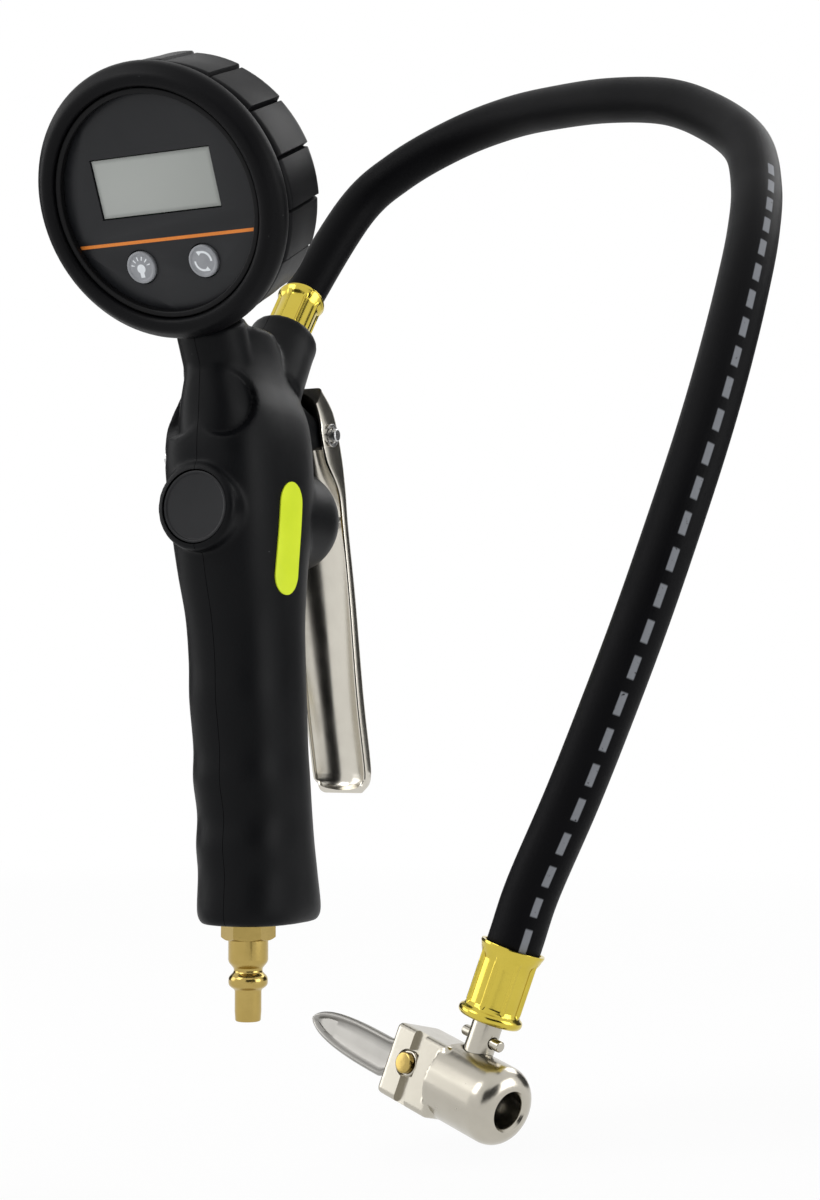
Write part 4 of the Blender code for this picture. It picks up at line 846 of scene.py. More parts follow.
@dataclass(frozen=True)
class Studio:
    """Pale floor, soft lights, reflector cards and the camera."""

    floor_z: float = -0.045
    floor_half: float = 14.0
    eye: Point = (0.33398, -0.57440, 0.09117)
    ahead: Point = (-0.43777, 0.89756, 0.05234)
    focal_px: float = 2200.0
    frame_px: float = 1200.0
    sensor: float = 24.0
    lamp_aim: Point = (0.05, -0.03, 0.13)
    card_aim: Point = (0.08, -0.03, 0.12)

    @staticmethod
    def point(obj: Obj, place: Point, way: Vector) -> None:
        """Places a camera or a lamp and turns it to face a direction."""
        obj.location = place
        obj.rotation_euler = way.to_track_quat("-Z", "Y").to_euler()

    def camera(self) -> None:
        """Camera at the photograph's place."""
        data = bpy.data.cameras.new("camera")
        data.sensor_fit = "VERTICAL"
        data.sensor_height = self.sensor
        data.lens = self.focal_px / self.frame_px * self.sensor
        data.clip_start = 0.01
        camera = link("camera", data)
        self.point(camera, self.eye, Vector(self.ahead))
        bpy.context.scene.camera = camera

    def lamp(self, name: str, place: Point, size: float, power: float) -> None:
        """Square soft light that points at the middle of the object.

        Args:
            name: Name of the light.
            place: Where it stands.
            size: Length of its side.
            power: Its power in watts.
        """
        data = bpy.data.lights.new(name, "AREA")
        data.size = size
        data.energy = power
        self.point(link(name, data), place, Vector(self.lamp_aim) - Vector(place))

    def card(self, name: str, centre: Point, half: tuple[float, float], tone: float) -> None:
        """Dark card outside the view, for the metal to mirror.

        Args:
            name: Name of the card.
            centre: Its middle.
            half: Half of its width and height.
            tone: Its grey.
        """
        sheet = Sheet(name)
        grey = sheet.mix(sheet.noise(sheet.place(), 30.0), (tone,) * 3, (tone * 1.1,) * 3)
        facing = Vector(self.card_aim) - Vector(centre)
        card = add(name, plane(*half), axes(Vector(centre), facing.cross(UP), facing))
        card.data.materials.append(sheet.close({"Base Color": grey, "Roughness": 0.9}))
        card.visible_camera = False

    def seen(self, sheet: Sheet) -> Wire:
        """Tells what is looked at from what is only lit.

        Args:
            sheet: Sheet of the floor or of the world.

        Returns:
            1 for rays from the camera and for those that metal and glass send on.
        """
        path = sheet.node("ShaderNodeLightPath")
        rays = [Wire(sheet, path.outputs[f"Is {kind} Ray"]) for kind in ("Camera", "Glossy", "Transmission")]
        return rays[0].maths("MAXIMUM", rays[1]).maths("MAXIMUM", rays[2])

    def floor(self) -> None:
        """White floor that keeps the object's soft shadow."""
        sheet = Sheet("studio floor")
        tone = sheet.mix(sheet.noise(sheet.place(), 8.0), (0.90,) * 3, (0.93,) * 3)
        plain = sheet.wire("ShaderNodeBsdfDiffuse", None, {"Color": tone})
        glow = sheet.wire("ShaderNodeEmission", None, {"Color": (1.0, 1.0, 1.0, 1.0), "Strength": 1.0})
        x, y, _ = sheet.parts(sheet.place())
        far = (((x * x + y * y).maths("SQRT") - 0.30) / 1.1).clamp()
        share = self.seen(sheet) * (0.74 + far * 0.26)
        mixed = sheet.wire("ShaderNodeMixShader", None, {0: share, 1: plain, 2: glow})
        sheet.node("ShaderNodeOutputMaterial", None, {"Surface": mixed})
        floor = add("studio_floor", plane(self.floor_half, self.floor_half, self.floor_z))
        floor.data.materials.append(sheet.owner)

    def sky(self) -> None:
        """White surroundings, dimmer as a light than as a background."""
        sheet = Sheet("studio", True)
        bpy.context.scene.world = sheet.owner
        sockets = {"Color": (1.0, 1.0, 1.0, 1.0), "Strength": 0.78 + self.seen(sheet) * 0.22}
        light = sheet.wire("ShaderNodeBackground", None, sockets)
        sheet.node("ShaderNodeOutputWorld", None, {"Surface": light})

    def build(self) -> None:
        """Sets the whole studio up."""
        self.camera()
        self.sky()
        self.floor()
        self.lamp("key", (-0.75, -1.05, 1.15), 0.8, 7.0)
        self.lamp("right_box", (1.25, 0.05, 0.32), 0.7, 5.0)
        self.lamp("left_box", (-1.15, -0.30, 0.40), 0.7, 3.0)
        self.lamp("rim", (0.45, 1.35, 1.15), 0.8, 6.0)
        self.card("dark_card_left", (-1.45, 0.55, 0.10), (0.55, 0.70), 0.02)
        self.card("dark_card_right", (0.66, 1.15, 0.05), (0.50, 0.70), 0.03)
        self.card("dark_card_side", (1.30, -0.75, 0.12), (0.36, 0.75), 0.02)
        self.card("dark_card_front", (0.80, -1.30, 0.12), (0.42, 0.75), 0.01)


# ---------------------------------------------------------------- sub-assemblies


@dataclass
class Casing:
    """Soft-touch casing in two halves, its cap and its blank pad."""

    # height, rear, front, half width, squareness
    sections: Rows = (
        (0.0290, -0.0132, 0.0268, 0.0146, 2.5),
        (0.0325, -0.0147, 0.0281, 0.0160, 2.5),
        (0.0440, -0.0141, 0.0256, 0.0158, 2.5),
        (0.0525, -0.0153, 0.0238, 0.0157, 2.5),
        (0.0615, -0.0147, 0.0223, 0.0155, 2.5),
        (0.0720, -0.0172, 0.0210, 0.0156, 2.5),
        (0.0815, -0.0172, 0.0198, 0.0154, 2.5),
        (0.0960, -0.0196, 0.0188, 0.0156, 2.5),
        (0.1070, -0.0201, 0.0182, 0.0155, 2.5),
        (0.1200, -0.0222, 0.0180, 0.0156, 2.5),
        (0.1340, -0.0262, 0.0186, 0.0164, 2.6),
        (0.1515, -0.0292, 0.0200, 0.0176, 2.8),
        (0.1680, -0.0308, 0.0190, 0.0177, 3.0),
        (0.1800, -0.0299, 0.0182, 0.0160, 3.0),
        (0.1900, -0.0294, 0.0166, 0.0124, 2.6),
        (0.1980, -0.0286, 0.0126, 0.0106, 2.4),
        (0.2062, -0.0276, 0.0060, 0.0100, 2.2),
    )
    valve_z: float = 0.1515
    # radius, low end, high end and rounding of the blunt forms
    nose: tuple[float, ...] = (0.0165, -0.0043, 0.0370, 0.0140)
    boss: tuple[float, ...] = (0.0129, 0.0021, 0.0322, 0.0016)
    collar: tuple[float, ...] = (0.0104, -0.0200, 0.0144, 0.0012)
    cap_face: float = 0.0322
    cap_radius: float = 0.0106
    port_radius: float = 0.0108
    port_top: float = -0.0024
    lug_radius: float = 0.0044
    lug_half: float = 0.0081
    lug_foot: tuple[float, float] = (0.0060, 0.0120)
    lug_sweep: float = 0.62 * pi
    hollow_place: tuple[float, float] = (-0.0057, 0.1822)
    hollow_radius: float = 0.0098
    hollow_depth: float = 0.0035
    hollow_edge: float = 0.0016
    hollow_front: float = 0.004
    hollow_along: tuple[float, float] = (0.899, 0.438)  # shares of sideways and forward
    hollow_slope: tuple[float, float] = (0.94, 0.34)  # shares of along and up
    hollow_squash: float = 0.92
    hollow_fade: float = 1.8
    hollow_push: tuple[float, float] = (0.6, 0.8)  # inward and forward
    melt_size: float = 0.00075
    seam: float = 0.00008
    pad_place: tuple[float, float] = (-0.0062, 0.1435)
    pad_size: tuple[float, float] = (0.0126, 0.0335)
    pad_faces: tuple[float, float] = (0.00005, 0.00040)
    block_radius: float = 0.0092 + GAP
    barrel: Point = (0.0098 + GAP, -0.0268 - GAP, 0.0355 + GAP)
    riser_radius: float = 0.0076 + GAP
    riser_foot: Point = (0.0, 0.0205, 0.1515)
    junction: Point = (0.0, -0.0085, 0.1720)
    channel_start: float = 0.004
    gauge_channel: float = 0.008
    hose_channel: float = 0.0035
    # radius, low end and high end of the bores
    stem_bore: Point = (0.0064 + GAP * 2, -0.002, 0.02)
    hose_bore: Point = (0.0078, -0.0040, 0.01)
    pin_bore: Point = (0.0083, 0.0355, 0.0370 + 0.01)
    pivot_bore: Point = (0.00235, -THROUGH, THROUGH)
    screw_pocket: Point = (0.0030, -THROUGH, 0.0021)
    screw_hole: float = 0.0017
    screws: Rows = ((-0.0240, 0.1670), (0.0134, 0.1180), (0.0170, 0.0480))

    def __post_init__(self) -> None:
        """Works out the frames of the valve, the cap, the hose port and the gauge's stem."""
        centre = Vector((0.0, 0.0, self.valve_z))
        self.valve_frame = axes(centre, RIGHT, FORWARD)
        self.rear_frame = axes(centre, RIGHT, -FORWARD)
        self.port_frame = axes(PORT, RIGHT, PORT_AXIS)
        self.stem_frame = axes(STEM_FOOT, RIGHT, GAUGE_UP)

    def ring(self, row: Sequence[float], sides: int = 96) -> list[Point]:
        """Rounded ring of the grip.

        Args:
            row: One row like those of the sections.
            sides: Number of points.

        Returns:
            The points.
        """
        z, rear, front, half, power = row
        points = []
        for i in range(sides):
            c, s = cos(2.0 * pi * i / sides), sin(2.0 * pi * i / sides)
            x = half * abs(c) ** (2.0 / power) * (1 if c >= 0 else -1)
            y = (front - rear) / 2.0 * abs(s) ** (2.0 / power) * (1 if s >= 0 else -1)
            points.append((x, (rear + front) / 2.0 + y, z))
        return points

    def blunt(self, place: Matrix, radius: float, low: float, high: float, size: float) -> Obj:
        """Turned rod with one rounded end."""
        return add("blunt rod", turned([(radius, low), *rounded(radius, high, size, 10)], 72), place)

    def lug(self) -> Obj:
        """Draws out the pivot lug between the lever's ears.

        Returns:
            The lug.
        """
        _, y, z = PIVOT
        angles = [-self.lug_sweep + self.lug_sweep * 2.0 * i / 24 for i in range(25)]
        outline = [(y + self.lug_radius * cos(a), z + self.lug_radius * sin(a)) for a in angles]
        foot, reach = self.lug_foot
        outline += [(foot, z + reach), (foot, z - reach)]
        sideways = Matrix(((0, 0, 1, 0), (1, 0, 0, 0), (0, 1, 0, 0), (0, 0, 0, 1)))
        return add("lug", prism(outline, -self.lug_half, self.lug_half), sideways)

    def press_hollows(self, obj: Obj) -> None:
        """Presses the thumb hollows into both rear shoulders of the neck.

        Args:
            obj: Whole casing.
        """
        place, height = self.hollow_place
        sideways, ahead = self.hollow_along
        level, upward = self.hollow_slope
        push, forward = self.hollow_push
        for vertex in obj.data.vertices:
            x, y, z = vertex.co
            along = sideways * abs(x) + ahead * y
            away = sqrt((along - place) ** 2 + ((z - height) * self.hollow_squash) ** 2)
            if y > self.hollow_front or away > self.hollow_radius:
                continue
            edge = smooth(self.hollow_radius, self.hollow_radius - self.hollow_edge, away)
            slope = (along - place) * level - (z - height) * upward
            fade = smooth(-self.hollow_radius, self.hollow_radius, slope) ** self.hollow_fade
            inward = Vector((-push if x > 0 else push, forward, 0.0))
            vertex.co = vertex.co + inward * (self.hollow_depth * edge * fade)

    def core(self) -> list[Obj]:
        """Makes room for the valve block.

        Returns:
            The cutters.
        """
        junction = Vector(self.junction)
        cutters = [
            rod(self.block_radius, 0.0, self.valve_z),
            rod(*self.barrel, self.valve_frame),
            between(Vector(self.riser_foot), junction, self.riser_radius),
        ]
        for mouth in (STEM_FOOT + GAUGE_UP * self.gauge_channel, PORT - PORT_AXIS * self.hose_channel):
            along = (mouth - junction).normalized()
            start = junction - along * self.channel_start
            cutters.append(between(start, mouth + along * GAP, self.block_radius))
        return cutters + [rod(*self.stem_bore, self.stem_frame)]

    def openings(self) -> list[Obj]:
        """Makes room for the cap, the valve pin, the pivot, the hose and the screws.

        Returns:
            The cutters.
        """
        cutters = [
            rod(self.cap_radius + GAP, 0.0265, self.cap_face + 0.01, self.rear_frame, 96),
            rod(*self.pin_bore, self.valve_frame),
            rod(*self.pivot_bore, axes(Vector(PIVOT), FORWARD, RIGHT), 32),
            rod(*self.hose_bore, self.port_frame),
        ]
        boxes = [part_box(f"casing_screw_{i}") for i in (1, 2, 3)]
        for y, z in self.screws:
            low, high = min(boxes, key=lambda ends: abs((ends[0].z + ends[1].z) / 2.0 - z))
            axis = axes(Vector((low.x, y, z)), FORWARD, RIGHT)
            cutters.append(rod(self.screw_hole, -THROUGH, high.x - low.x + GAP, axis, 24))
            cutters.append(rod(*self.screw_pocket, axis, 32))
        return cutters

    def whole(self) -> Obj:
        """Melts the forms into one casing and cuts every opening.

        Returns:
            Both halves in one.
        """
        r, top = self.port_radius, self.port_top
        flare = (
            (r + 0.0016, -0.0250),
            (r + 0.0004, -0.0105, 0.0030),
            (r + 0.0001, top - 0.0045, 0.0020),
            (r + 0.0001, top, 0.0014),
            (0.002, top),
        )
        forms = [
            add("grip", skin([self.ring(row) for row in curve_rows(self.sections, 10)])),
            self.blunt(self.valve_frame, *self.nose),
            self.blunt(self.rear_frame, *self.boss),
            lathe("port", flare, self.port_frame, 72, steps=5),
            self.blunt(self.stem_frame, *self.collar),
            self.lug(),
        ]
        casing = melt("casing", forms, self.melt_size, 7)
        self.press_hollows(casing)
        modify(casing, "SMOOTH", factor=0.4, iterations=1)
        settle(casing, 180.0)
        return carve(casing, self.core() + self.openings())

    def cap(self) -> Obj:
        """Turns the plain round cap over the valve's plug.

        Returns:
            The cap with its raised rim.
        """
        r, face = self.cap_radius, self.cap_face - 0.0004
        corners = (
            (r - 0.0006, face - 0.0032),
            (r, face - 0.0026),
            (r, face, 0.0005),
            (r - 0.0008, face, 0.0003),
            (r - 0.0011, face - 0.0004, 0.0002),
            (0.0005, face - 0.0004),
        )
        cap = lathe("rear_cap_skin", corners, self.rear_frame, 96)
        return dress(cap, Look.CAP, Body.GUN, "moulded_black", "rear_cap")

    def pad(self, casing: Obj) -> Obj:
        """Blank film.

        Args:
            casing: Right half of the casing, on which it lies.

        Returns:
            The film.
        """
        tree = BVHTree.FromObject(casing, bpy.context.evaluated_depsgraph_get())
        y0, z0 = self.pad_place
        half_y, half_z = self.pad_size[0] / 2.0, self.pad_size[1] / 2.0
        rings = []
        rows, columns = 56, 16
        for i in range(rows + 1):
            height = -cos(pi * i / rows) * half_z
            beyond = max(abs(height) - (half_z - half_y), 0.0)
            reach = max(sqrt(max(half_y**2 - beyond**2, 0.0)), 0.0004)
            spots = []
            for j in range(columns + 1):
                y = y0 - reach + 2.0 * reach * j / columns
                hit = tree.ray_cast(Vector((0.05, y, z0 + height)), -RIGHT)[0]
                spots.append((hit.x if hit is not None else 0.0165, y))
            lower, upper = [[(x + face, y, z0 + height) for x, y in spots] for face in self.pad_faces]
            rings.append(lower + upper[::-1])
        film = add("side_pad_film", skin(rings), None, 50.0)
        return dress(film, Look.LIME, Body.GUN, "lime_film", "side_pad")

    def build(self) -> list[Obj]:
        """Builds the casing.

        Returns:
            Both halves, the cap and the pad.
        """
        whole = self.whole()
        halves = []
        for name, low, high in (("casing_left", -0.4, -self.seam), ("casing_right", self.seam, 0.4)):
            half = link(f"{name}_skin", whole.data.copy())
            carve(half, [add("keeper", box((low, -0.4, -0.4), (high, 0.4, 0.4)))], "INTERSECT")
            halves.append(dress(half, Look.CASING, Body.GUN, "soft_black", name))
        bpy.data.objects.remove(whole, do_unlink=True)
        return [*halves, self.cap(), self.pad(halves[1])]


@dataclass
class Gauge:
    """Digital gauge in its rubber boot."""

    stem_rise: float = 0.0139
    stem_depth: float = 0.0165
    stem_hole: float = 0.0074
    radius: float = 0.0397
    lip: float = 0.0066
    lip_length: float = 0.0068
    depth: float = 0.0300
    wall: float = 0.0022
    back_hole: float = 0.0110
    pads: int = 16
    groove: float = 0.045
    pad_height: float = 0.0018
    pad_slope: float = 0.30
    pad_marks: tuple[float, ...] = (0.0, 0.15, 0.30, 0.40, 0.44, 0.455, 0.47, 0.485)
    taper: float = 0.0009
    face_recess: float = 0.0036
    face_thickness: float = 0.0012
    display: tuple[float, float] = (0.0390, 0.0168)
    display_y: float = 0.0055
    key_radius: float = 0.0047
    key_spread: float = 0.0104
    key_y: float = -0.0177
    key_proud: float = 0.0007
    key_low: float = -0.0128 + GAP + 0.0026 + 0.0008 + GAP

    def __post_init__(self) -> None:
        """Works out the gauge's own frame."""
        facing = Vector((0.0, -cos(LEAN), -sin(LEAN)))
        self.middle = STEM_FOOT + GAUGE_UP * (self.radius + self.stem_rise)
        self.frame = axes(self.middle + facing * self.stem_depth, RIGHT, facing)
        self.side = self.radius - self.pad_height - 0.0004
        self.front = -self.face_recess - GAP
        self.mouth = self.radius - self.lip

    def key_frame(self, side: int) -> Matrix:
        """Frame of one key, on the left for -1 and on the right for 1."""
        return self.frame @ Matrix.Translation((side * self.key_spread, self.key_y, 0.0))

    def panel(self, grow: float, low: float, high: float) -> Faces:
        """Box of the display's outline."""
        x, y = self.display[0] / 2.0 + grow, self.display[1] / 2.0 + grow
        return box((-x, self.display_y - y, low), (x, self.display_y + y, high))

    def boot(self) -> Obj:
        """Builds the boot with its rolled lip, its pads and its back wall.

        Returns:
            The boot.
        """
        rear = -self.depth
        start, end = -self.lip_length - 0.0014, rear + 0.0016
        cavity = self.side - self.wall + GAP
        floor = -self.face_recess + GAP
        lip = (
            (self.mouth, floor),
            (self.mouth, -0.0002, 0.0022),
            (self.radius - 0.0032, 0.0004, 0.0040),
            (self.radius + 0.0001, -0.0034, 0.0034),
            (self.radius, -self.lip_length, 0.0022),
            (self.side, -self.lip_length - 0.0006, 0.0004),
            (self.side, start),
        )
        inside = (
            (self.side - 0.0040, rear),
            (self.back_hole, rear),
            (self.back_hole, rear + self.wall),
            (cavity, rear + self.wall),
            (cavity, floor),
        )
        # height, share of the pads' height, rounding off
        padded = []
        for z in (start + (end - start) * i / 24 for i in range(1, 25)):
            padded.append((z, smooth(start, start - 0.0012, z), 0.0))
        padded += [(rear + 0.0008, 1.0, 0.0005), (rear + 0.0002, 1.0, 0.0016)]
        marks = [-0.5] + [-mark for mark in self.pad_marks[:0:-1]] + list(self.pad_marks)
        spokes = []
        for pad in range(self.pads):
            for mark in marks:
                raised = self.pad_height * smooth(0.5, 0.5 - self.groove, abs(mark))
                raised = raised * (1.0 - self.pad_slope * (mark + 0.5))
                spokes.append((2.0 * pi / self.pads * (pad + mark), raised))
        rings = [[(r * cos(a), r * sin(a), z) for a, _ in spokes] for r, z in fillet(lip, 6)]
        for z, share, drop in padded:
            ring = []
            for angle, raised in spokes:
                r = self.side + raised * share - drop - self.taper * smooth(start, rear, z)
                ring.append((r * cos(angle), r * sin(angle), z))
            rings.append(ring)
        rings += [[(r * cos(a), r * sin(a), z) for a, _ in spokes] for r, z in inside]
        boot = add("gauge_boot_skin", skin(rings, True), self.frame, 60.0)
        carve(boot, [between(self.middle, self.middle - GAUGE_UP * 0.06, self.stem_hole)])
        return dress(shade(boot, 50.0), Look.RUBBER, Body.GUN, "black_rubber", "gauge_boot")

    def bezel(self) -> Obj:
        """Turns the thin ring that holds the face.

        Returns:
            The ring.
        """
        outer, inner = self.mouth - GAP, self.mouth - 0.0020
        low, high = self.front + GAP, -0.0015
        corners = ((outer, low), (outer, high, 0.0005), (inner, high, 0.0006), (inner, low))
        ring = lathe("gauge_bezel_skin", corners, self.frame, 160, True)
        return dress(ring, Look.MOULDED, Body.GUN, "moulded_black", "gauge_bezel")

    def face(self) -> Obj:
        """Cuts the printed face with its window and its two key holes.

        Returns:
            The face.
        """
        radius = self.side - self.wall - 0.0018 - GAP
        face = rod(radius, self.front - self.face_thickness, self.front, self.frame, 160)
        face.name = "face_plate_skin"
        cutters = [add("window", self.panel(GAP, -THROUGH, THROUGH), self.frame)]
        for side in (-1, 1):
            cutters.append(rod(self.key_radius + RUNNING, -THROUGH, THROUGH, self.key_frame(side), 72))
        bevel(carve(face, cutters), 0.00018)
        return dress(face, Look.FACE, Body.GUN, "face_black", "face_plate")

    def screen(self) -> Obj:
        """Sets the display a little below the face.

        Returns:
            The display.
        """
        top = self.front - 0.0004
        panel = bevel(add("lcd_panel_skin", self.panel(0.0, top - 0.0026, top), self.frame), 0.0002)
        return dress(panel, Look.DISPLAY, Body.GUN, "display", "lcd_panel")

    def key(self, side: int, node: str, look: Look, body: Body) -> Obj:
        """One key with a dished top and a rounded edge.

        Args:
            side: -1 for the left key and 1 for the right one.
            node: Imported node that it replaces.
            look: Its finish.
            body: Body that it moves with.

        Returns:
            The key.
        """
        rear = self.front - self.face_thickness - 0.0012
        top = self.front + self.key_proud
        r = self.key_radius
        corners = (
            (0.0022, self.key_low),
            (0.0022, rear),
            (r, rear, 0.0002),
            (r, top, 0.0006),
            (r - 0.0007, top + 0.0001, 0.0003),
            (r - 0.0011, top - 0.0002, 0.0003),
            (r * 0.5, top - 0.0001),
            (0.0003, top - 0.00005),
        )
        return dress(lathe(f"{node}_skin", corners, self.key_frame(side), 72), look, body, "satin_grey", node)

    def build(self) -> list[Obj]:
        """Builds the gauge.

        Returns:
            All its pieces that show.
        """
        pieces = [self.boot(), self.bezel(), self.face(), self.screen()]
        pieces.append(self.key(-1, "light_button", Look.LIGHT_KEY, Body.LIGHT_KEY))
        pieces.append(self.key(1, "unit_button", Look.UNIT_KEY, Body.UNIT_KEY))
        return pieces


@dataclass
class Trigger:
    """Pressed lever, its pivot pin and its clip."""

    # forward, up, depth of the sides, share of the width
    line: Rows = (
        (0.0280, 0.1935, 0.0070, 1.00),
        (0.0362, 0.1868, 0.0110, 1.00),
        (0.0418, 0.1745, 0.0112, 1.00),
        (0.0448, 0.1630, 0.0058, 1.00),
        (0.0467, 0.1515, 0.0046, 1.00),
        (0.0517, 0.1290, 0.0050, 1.00),
        (0.0574, 0.0980, 0.0055, 1.00),
        (0.0624, 0.0770, 0.0055, 1.00),
        (0.0632, 0.0712, 0.0052, 0.98),
        (0.0626, 0.0680, 0.0046, 0.92),
        (0.0608, 0.0660, 0.0036, 0.80),
    )
    half_width: float = 0.0100
    sheet: float = 0.0013
    corner: float = 0.0022
    bow: float = 0.9
    pin_radius: float = 0.0020
    head_radius: float = 0.0032
    head_height: float = 0.0010
    clip_radius: float = 0.0036
    clip_mouth: float = radians(70.0)
    clip_sheet: float = 0.0006

    def __post_init__(self) -> None:
        """Works out the frame of the pivot."""
        self.frame = axes(Vector(PIVOT), FORWARD, RIGHT)

    def section(self, half: float, depth: float) -> Profile:
        """Channel section: across the lever and into its depth.

        Args:
            half: Half of the outer width.
            depth: How far the sides turn in.

        Returns:
            Outline of the sheet.
        """
        size = min(self.corner, depth * 0.5, half * 0.5)
        lip, back = self.sheet / 2.0, half - self.sheet
        angles = [pi / 2.0 * i / 6 for i in range(7)]
        right = [(half - size + size * sin(a), size - size * cos(a)) for a in angles]
        right += [(half, depth - lip), (half - lip * 0.4, depth - lip * 0.2), (half - lip, depth)]
        right += [(back + lip * 0.4, depth - lip * 0.2), (back, depth - lip)]
        bow = max(depth - self.sheet - lip, 0.0) * self.bow
        for share in (1.0 - i / 12.0 for i in range(12)):
            right.append(((back - 0.0001) * share, self.sheet + bow * share**2.0))
        return right + [(0.0, self.sheet)] + [(-x, d) for x, d in reversed(right)]

    def lever(self) -> Obj:
        """Presses the lever along its line.

        Returns:
            The lever.
        """
        rows = curve_rows(self.line, 8)
        rings = []
        for i, (y, z, depth, share) in enumerate(rows):
            before, after = rows[max(i - 1, 0)], rows[min(i + 1, len(rows) - 1)]
            tangent = Vector((0.0, after[0] - before[0], after[1] - before[1])).normalized()
            inward = Vector((0.0, tangent.z, -tangent.y))
            points = self.section(self.half_width * share, depth)
            rings.append([Vector((0.0, y, z)) + RIGHT * x + inward * d for x, d in points])
        lever = add("trigger_lever_skin", skin(rings), None, 44.0)
        carve(lever, [rod(self.pin_radius + RUNNING, -THROUGH, THROUGH, self.frame, 40)])
        return dress(lever, Look.CHROME, Body.TRIGGER, "chrome", "trigger_lever")

    def pin(self) -> Obj:
        """Turns the pivot pin with its rounded head.

        Returns:
            The pin.
        """
        reach = self.half_width + GAP
        low, high = -reach - self.head_height, reach + GAP + self.clip_sheet + 0.0016
        corners = (
            (0.0004, low),
            (self.head_radius, low, 0.0008),
            (self.head_radius, -reach, 0.0001),
            (self.pin_radius, -reach),
            (self.pin_radius, high, 0.0005),
            (0.0004, high),
        )
        pin = lathe("trigger_pivot_pin_skin", corners, self.frame, 48)
        return dress(pin, Look.STEEL, Body.GUN, "steel", "trigger_pivot_pin")

    def clip(self) -> Obj:
        """Cuts the spring clip with its three inner teeth.

        Returns:
            The clip on the pin's end.
        """
        low, gap = self.half_width + GAP * 2, self.clip_mouth
        angles = [gap / 2.0 + (2.0 * pi - gap) * i / 60 + pi for i in range(61)]
        outline = [(self.clip_radius * cos(a), self.clip_radius * sin(a)) for a in angles]
        for angle in reversed(angles):
            tooth = 0.5 + 0.5 * cos(3.0 * (angle - pi))
            radius = self.pin_radius + GAP + 0.0007 * smooth(0.75, 0.2, tooth)
            outline.append((radius * cos(angle), radius * sin(angle)))
        clip = bevel(add("pivot_clip_skin", prism(outline, low, low + self.clip_sheet), self.frame), 0.00012)
        return dress(clip, Look.STEEL, Body.GUN, "steel", "pivot_clip")

    def build(self) -> list[Obj]:
        """Lever, pin and clip."""
        return [self.lever(), self.pin(), self.clip()]


@dataclass
class ValveSpring:
    """Coil spring behind the valve's seal, which shortens as the pin goes in."""

    travel: float = 0.00432

    def build(self) -> list[Obj]:
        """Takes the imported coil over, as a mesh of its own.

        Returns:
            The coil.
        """
        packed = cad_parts["valve_spring"]
        coil = link("valve_spring_coil", packed.data.copy())
        coil.matrix_world = packed.matrix_world
        dress(coil, Look.STEEL, Body.GUN, "steel", "valve_spring")
        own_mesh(coil)
        return [coil]


@dataclass
class InletPlug:
    """Turned brass plug for the air line."""

    nose: float = 0.0040
    collar: float = 0.0059
    neck: float = 0.0043
    shank: float = 0.0060
    thread: float = 0.0062
    bore: float = 0.0026
    flats: float = 0.0142
    turn: float = radians(27.0)
    steps: tuple[float, ...] = (0.0105, 0.0133, 0.0167, 0.0242, 0.0294, 0.0404)

    def build(self) -> list[Obj]:
        """Turns the plug: nose, collar, neck, shank, hexagon and thread.

        Returns:
            The plug as one piece.
        """
        z1, z2, z3, z4, top, end = self.steps
        corners = (
            (self.nose - 0.0002, 0.0, 0.0006),
            (self.nose, 0.0030),
            (self.nose, z1 - 0.0012, 0.0006),
            (self.collar, z1 + 0.0002, 0.0009),
            (self.collar, z2 - 0.0002, 0.0009),
            (self.neck, z2 + 0.0014, 0.0008),
            (self.neck, z3 - 0.0010, 0.0008),
            (self.shank, z3 + 0.0010, 0.0009),
            (self.shank, z4 + 0.0008),
            (self.thread, top - 0.0008),
            (self.thread, end, 0.0003),
            (self.bore, end, 0.0002),
            (self.bore, 0.0, 0.0003),
        )
        plug = lathe("inlet_plug_skin", corners, None, 72, True, 5)
        across = self.flats / 2.0 / cos(pi / 6.0)
        angles = [pi / 3.0 * i + self.turn for i in range(6)]
        nut = add("nut", prism([(across * cos(a), across * sin(a)) for a in angles], z4, top))
        cone = ((across * 0.80, z4 - 0.0003), (across + 0.0008, z4 + 0.0013), (across + 0.0008, top))
        carve(nut, [add("cone", turned(cone, 72))], "INTERSECT")
        carve(nut, [rod(self.shank - 0.0004, 0.0, 0.1)])
        carve(plug, [nut], "UNION")
        return [dress(plug, Look.PLUG, Body.GUN, "brass", "inlet_plug")]


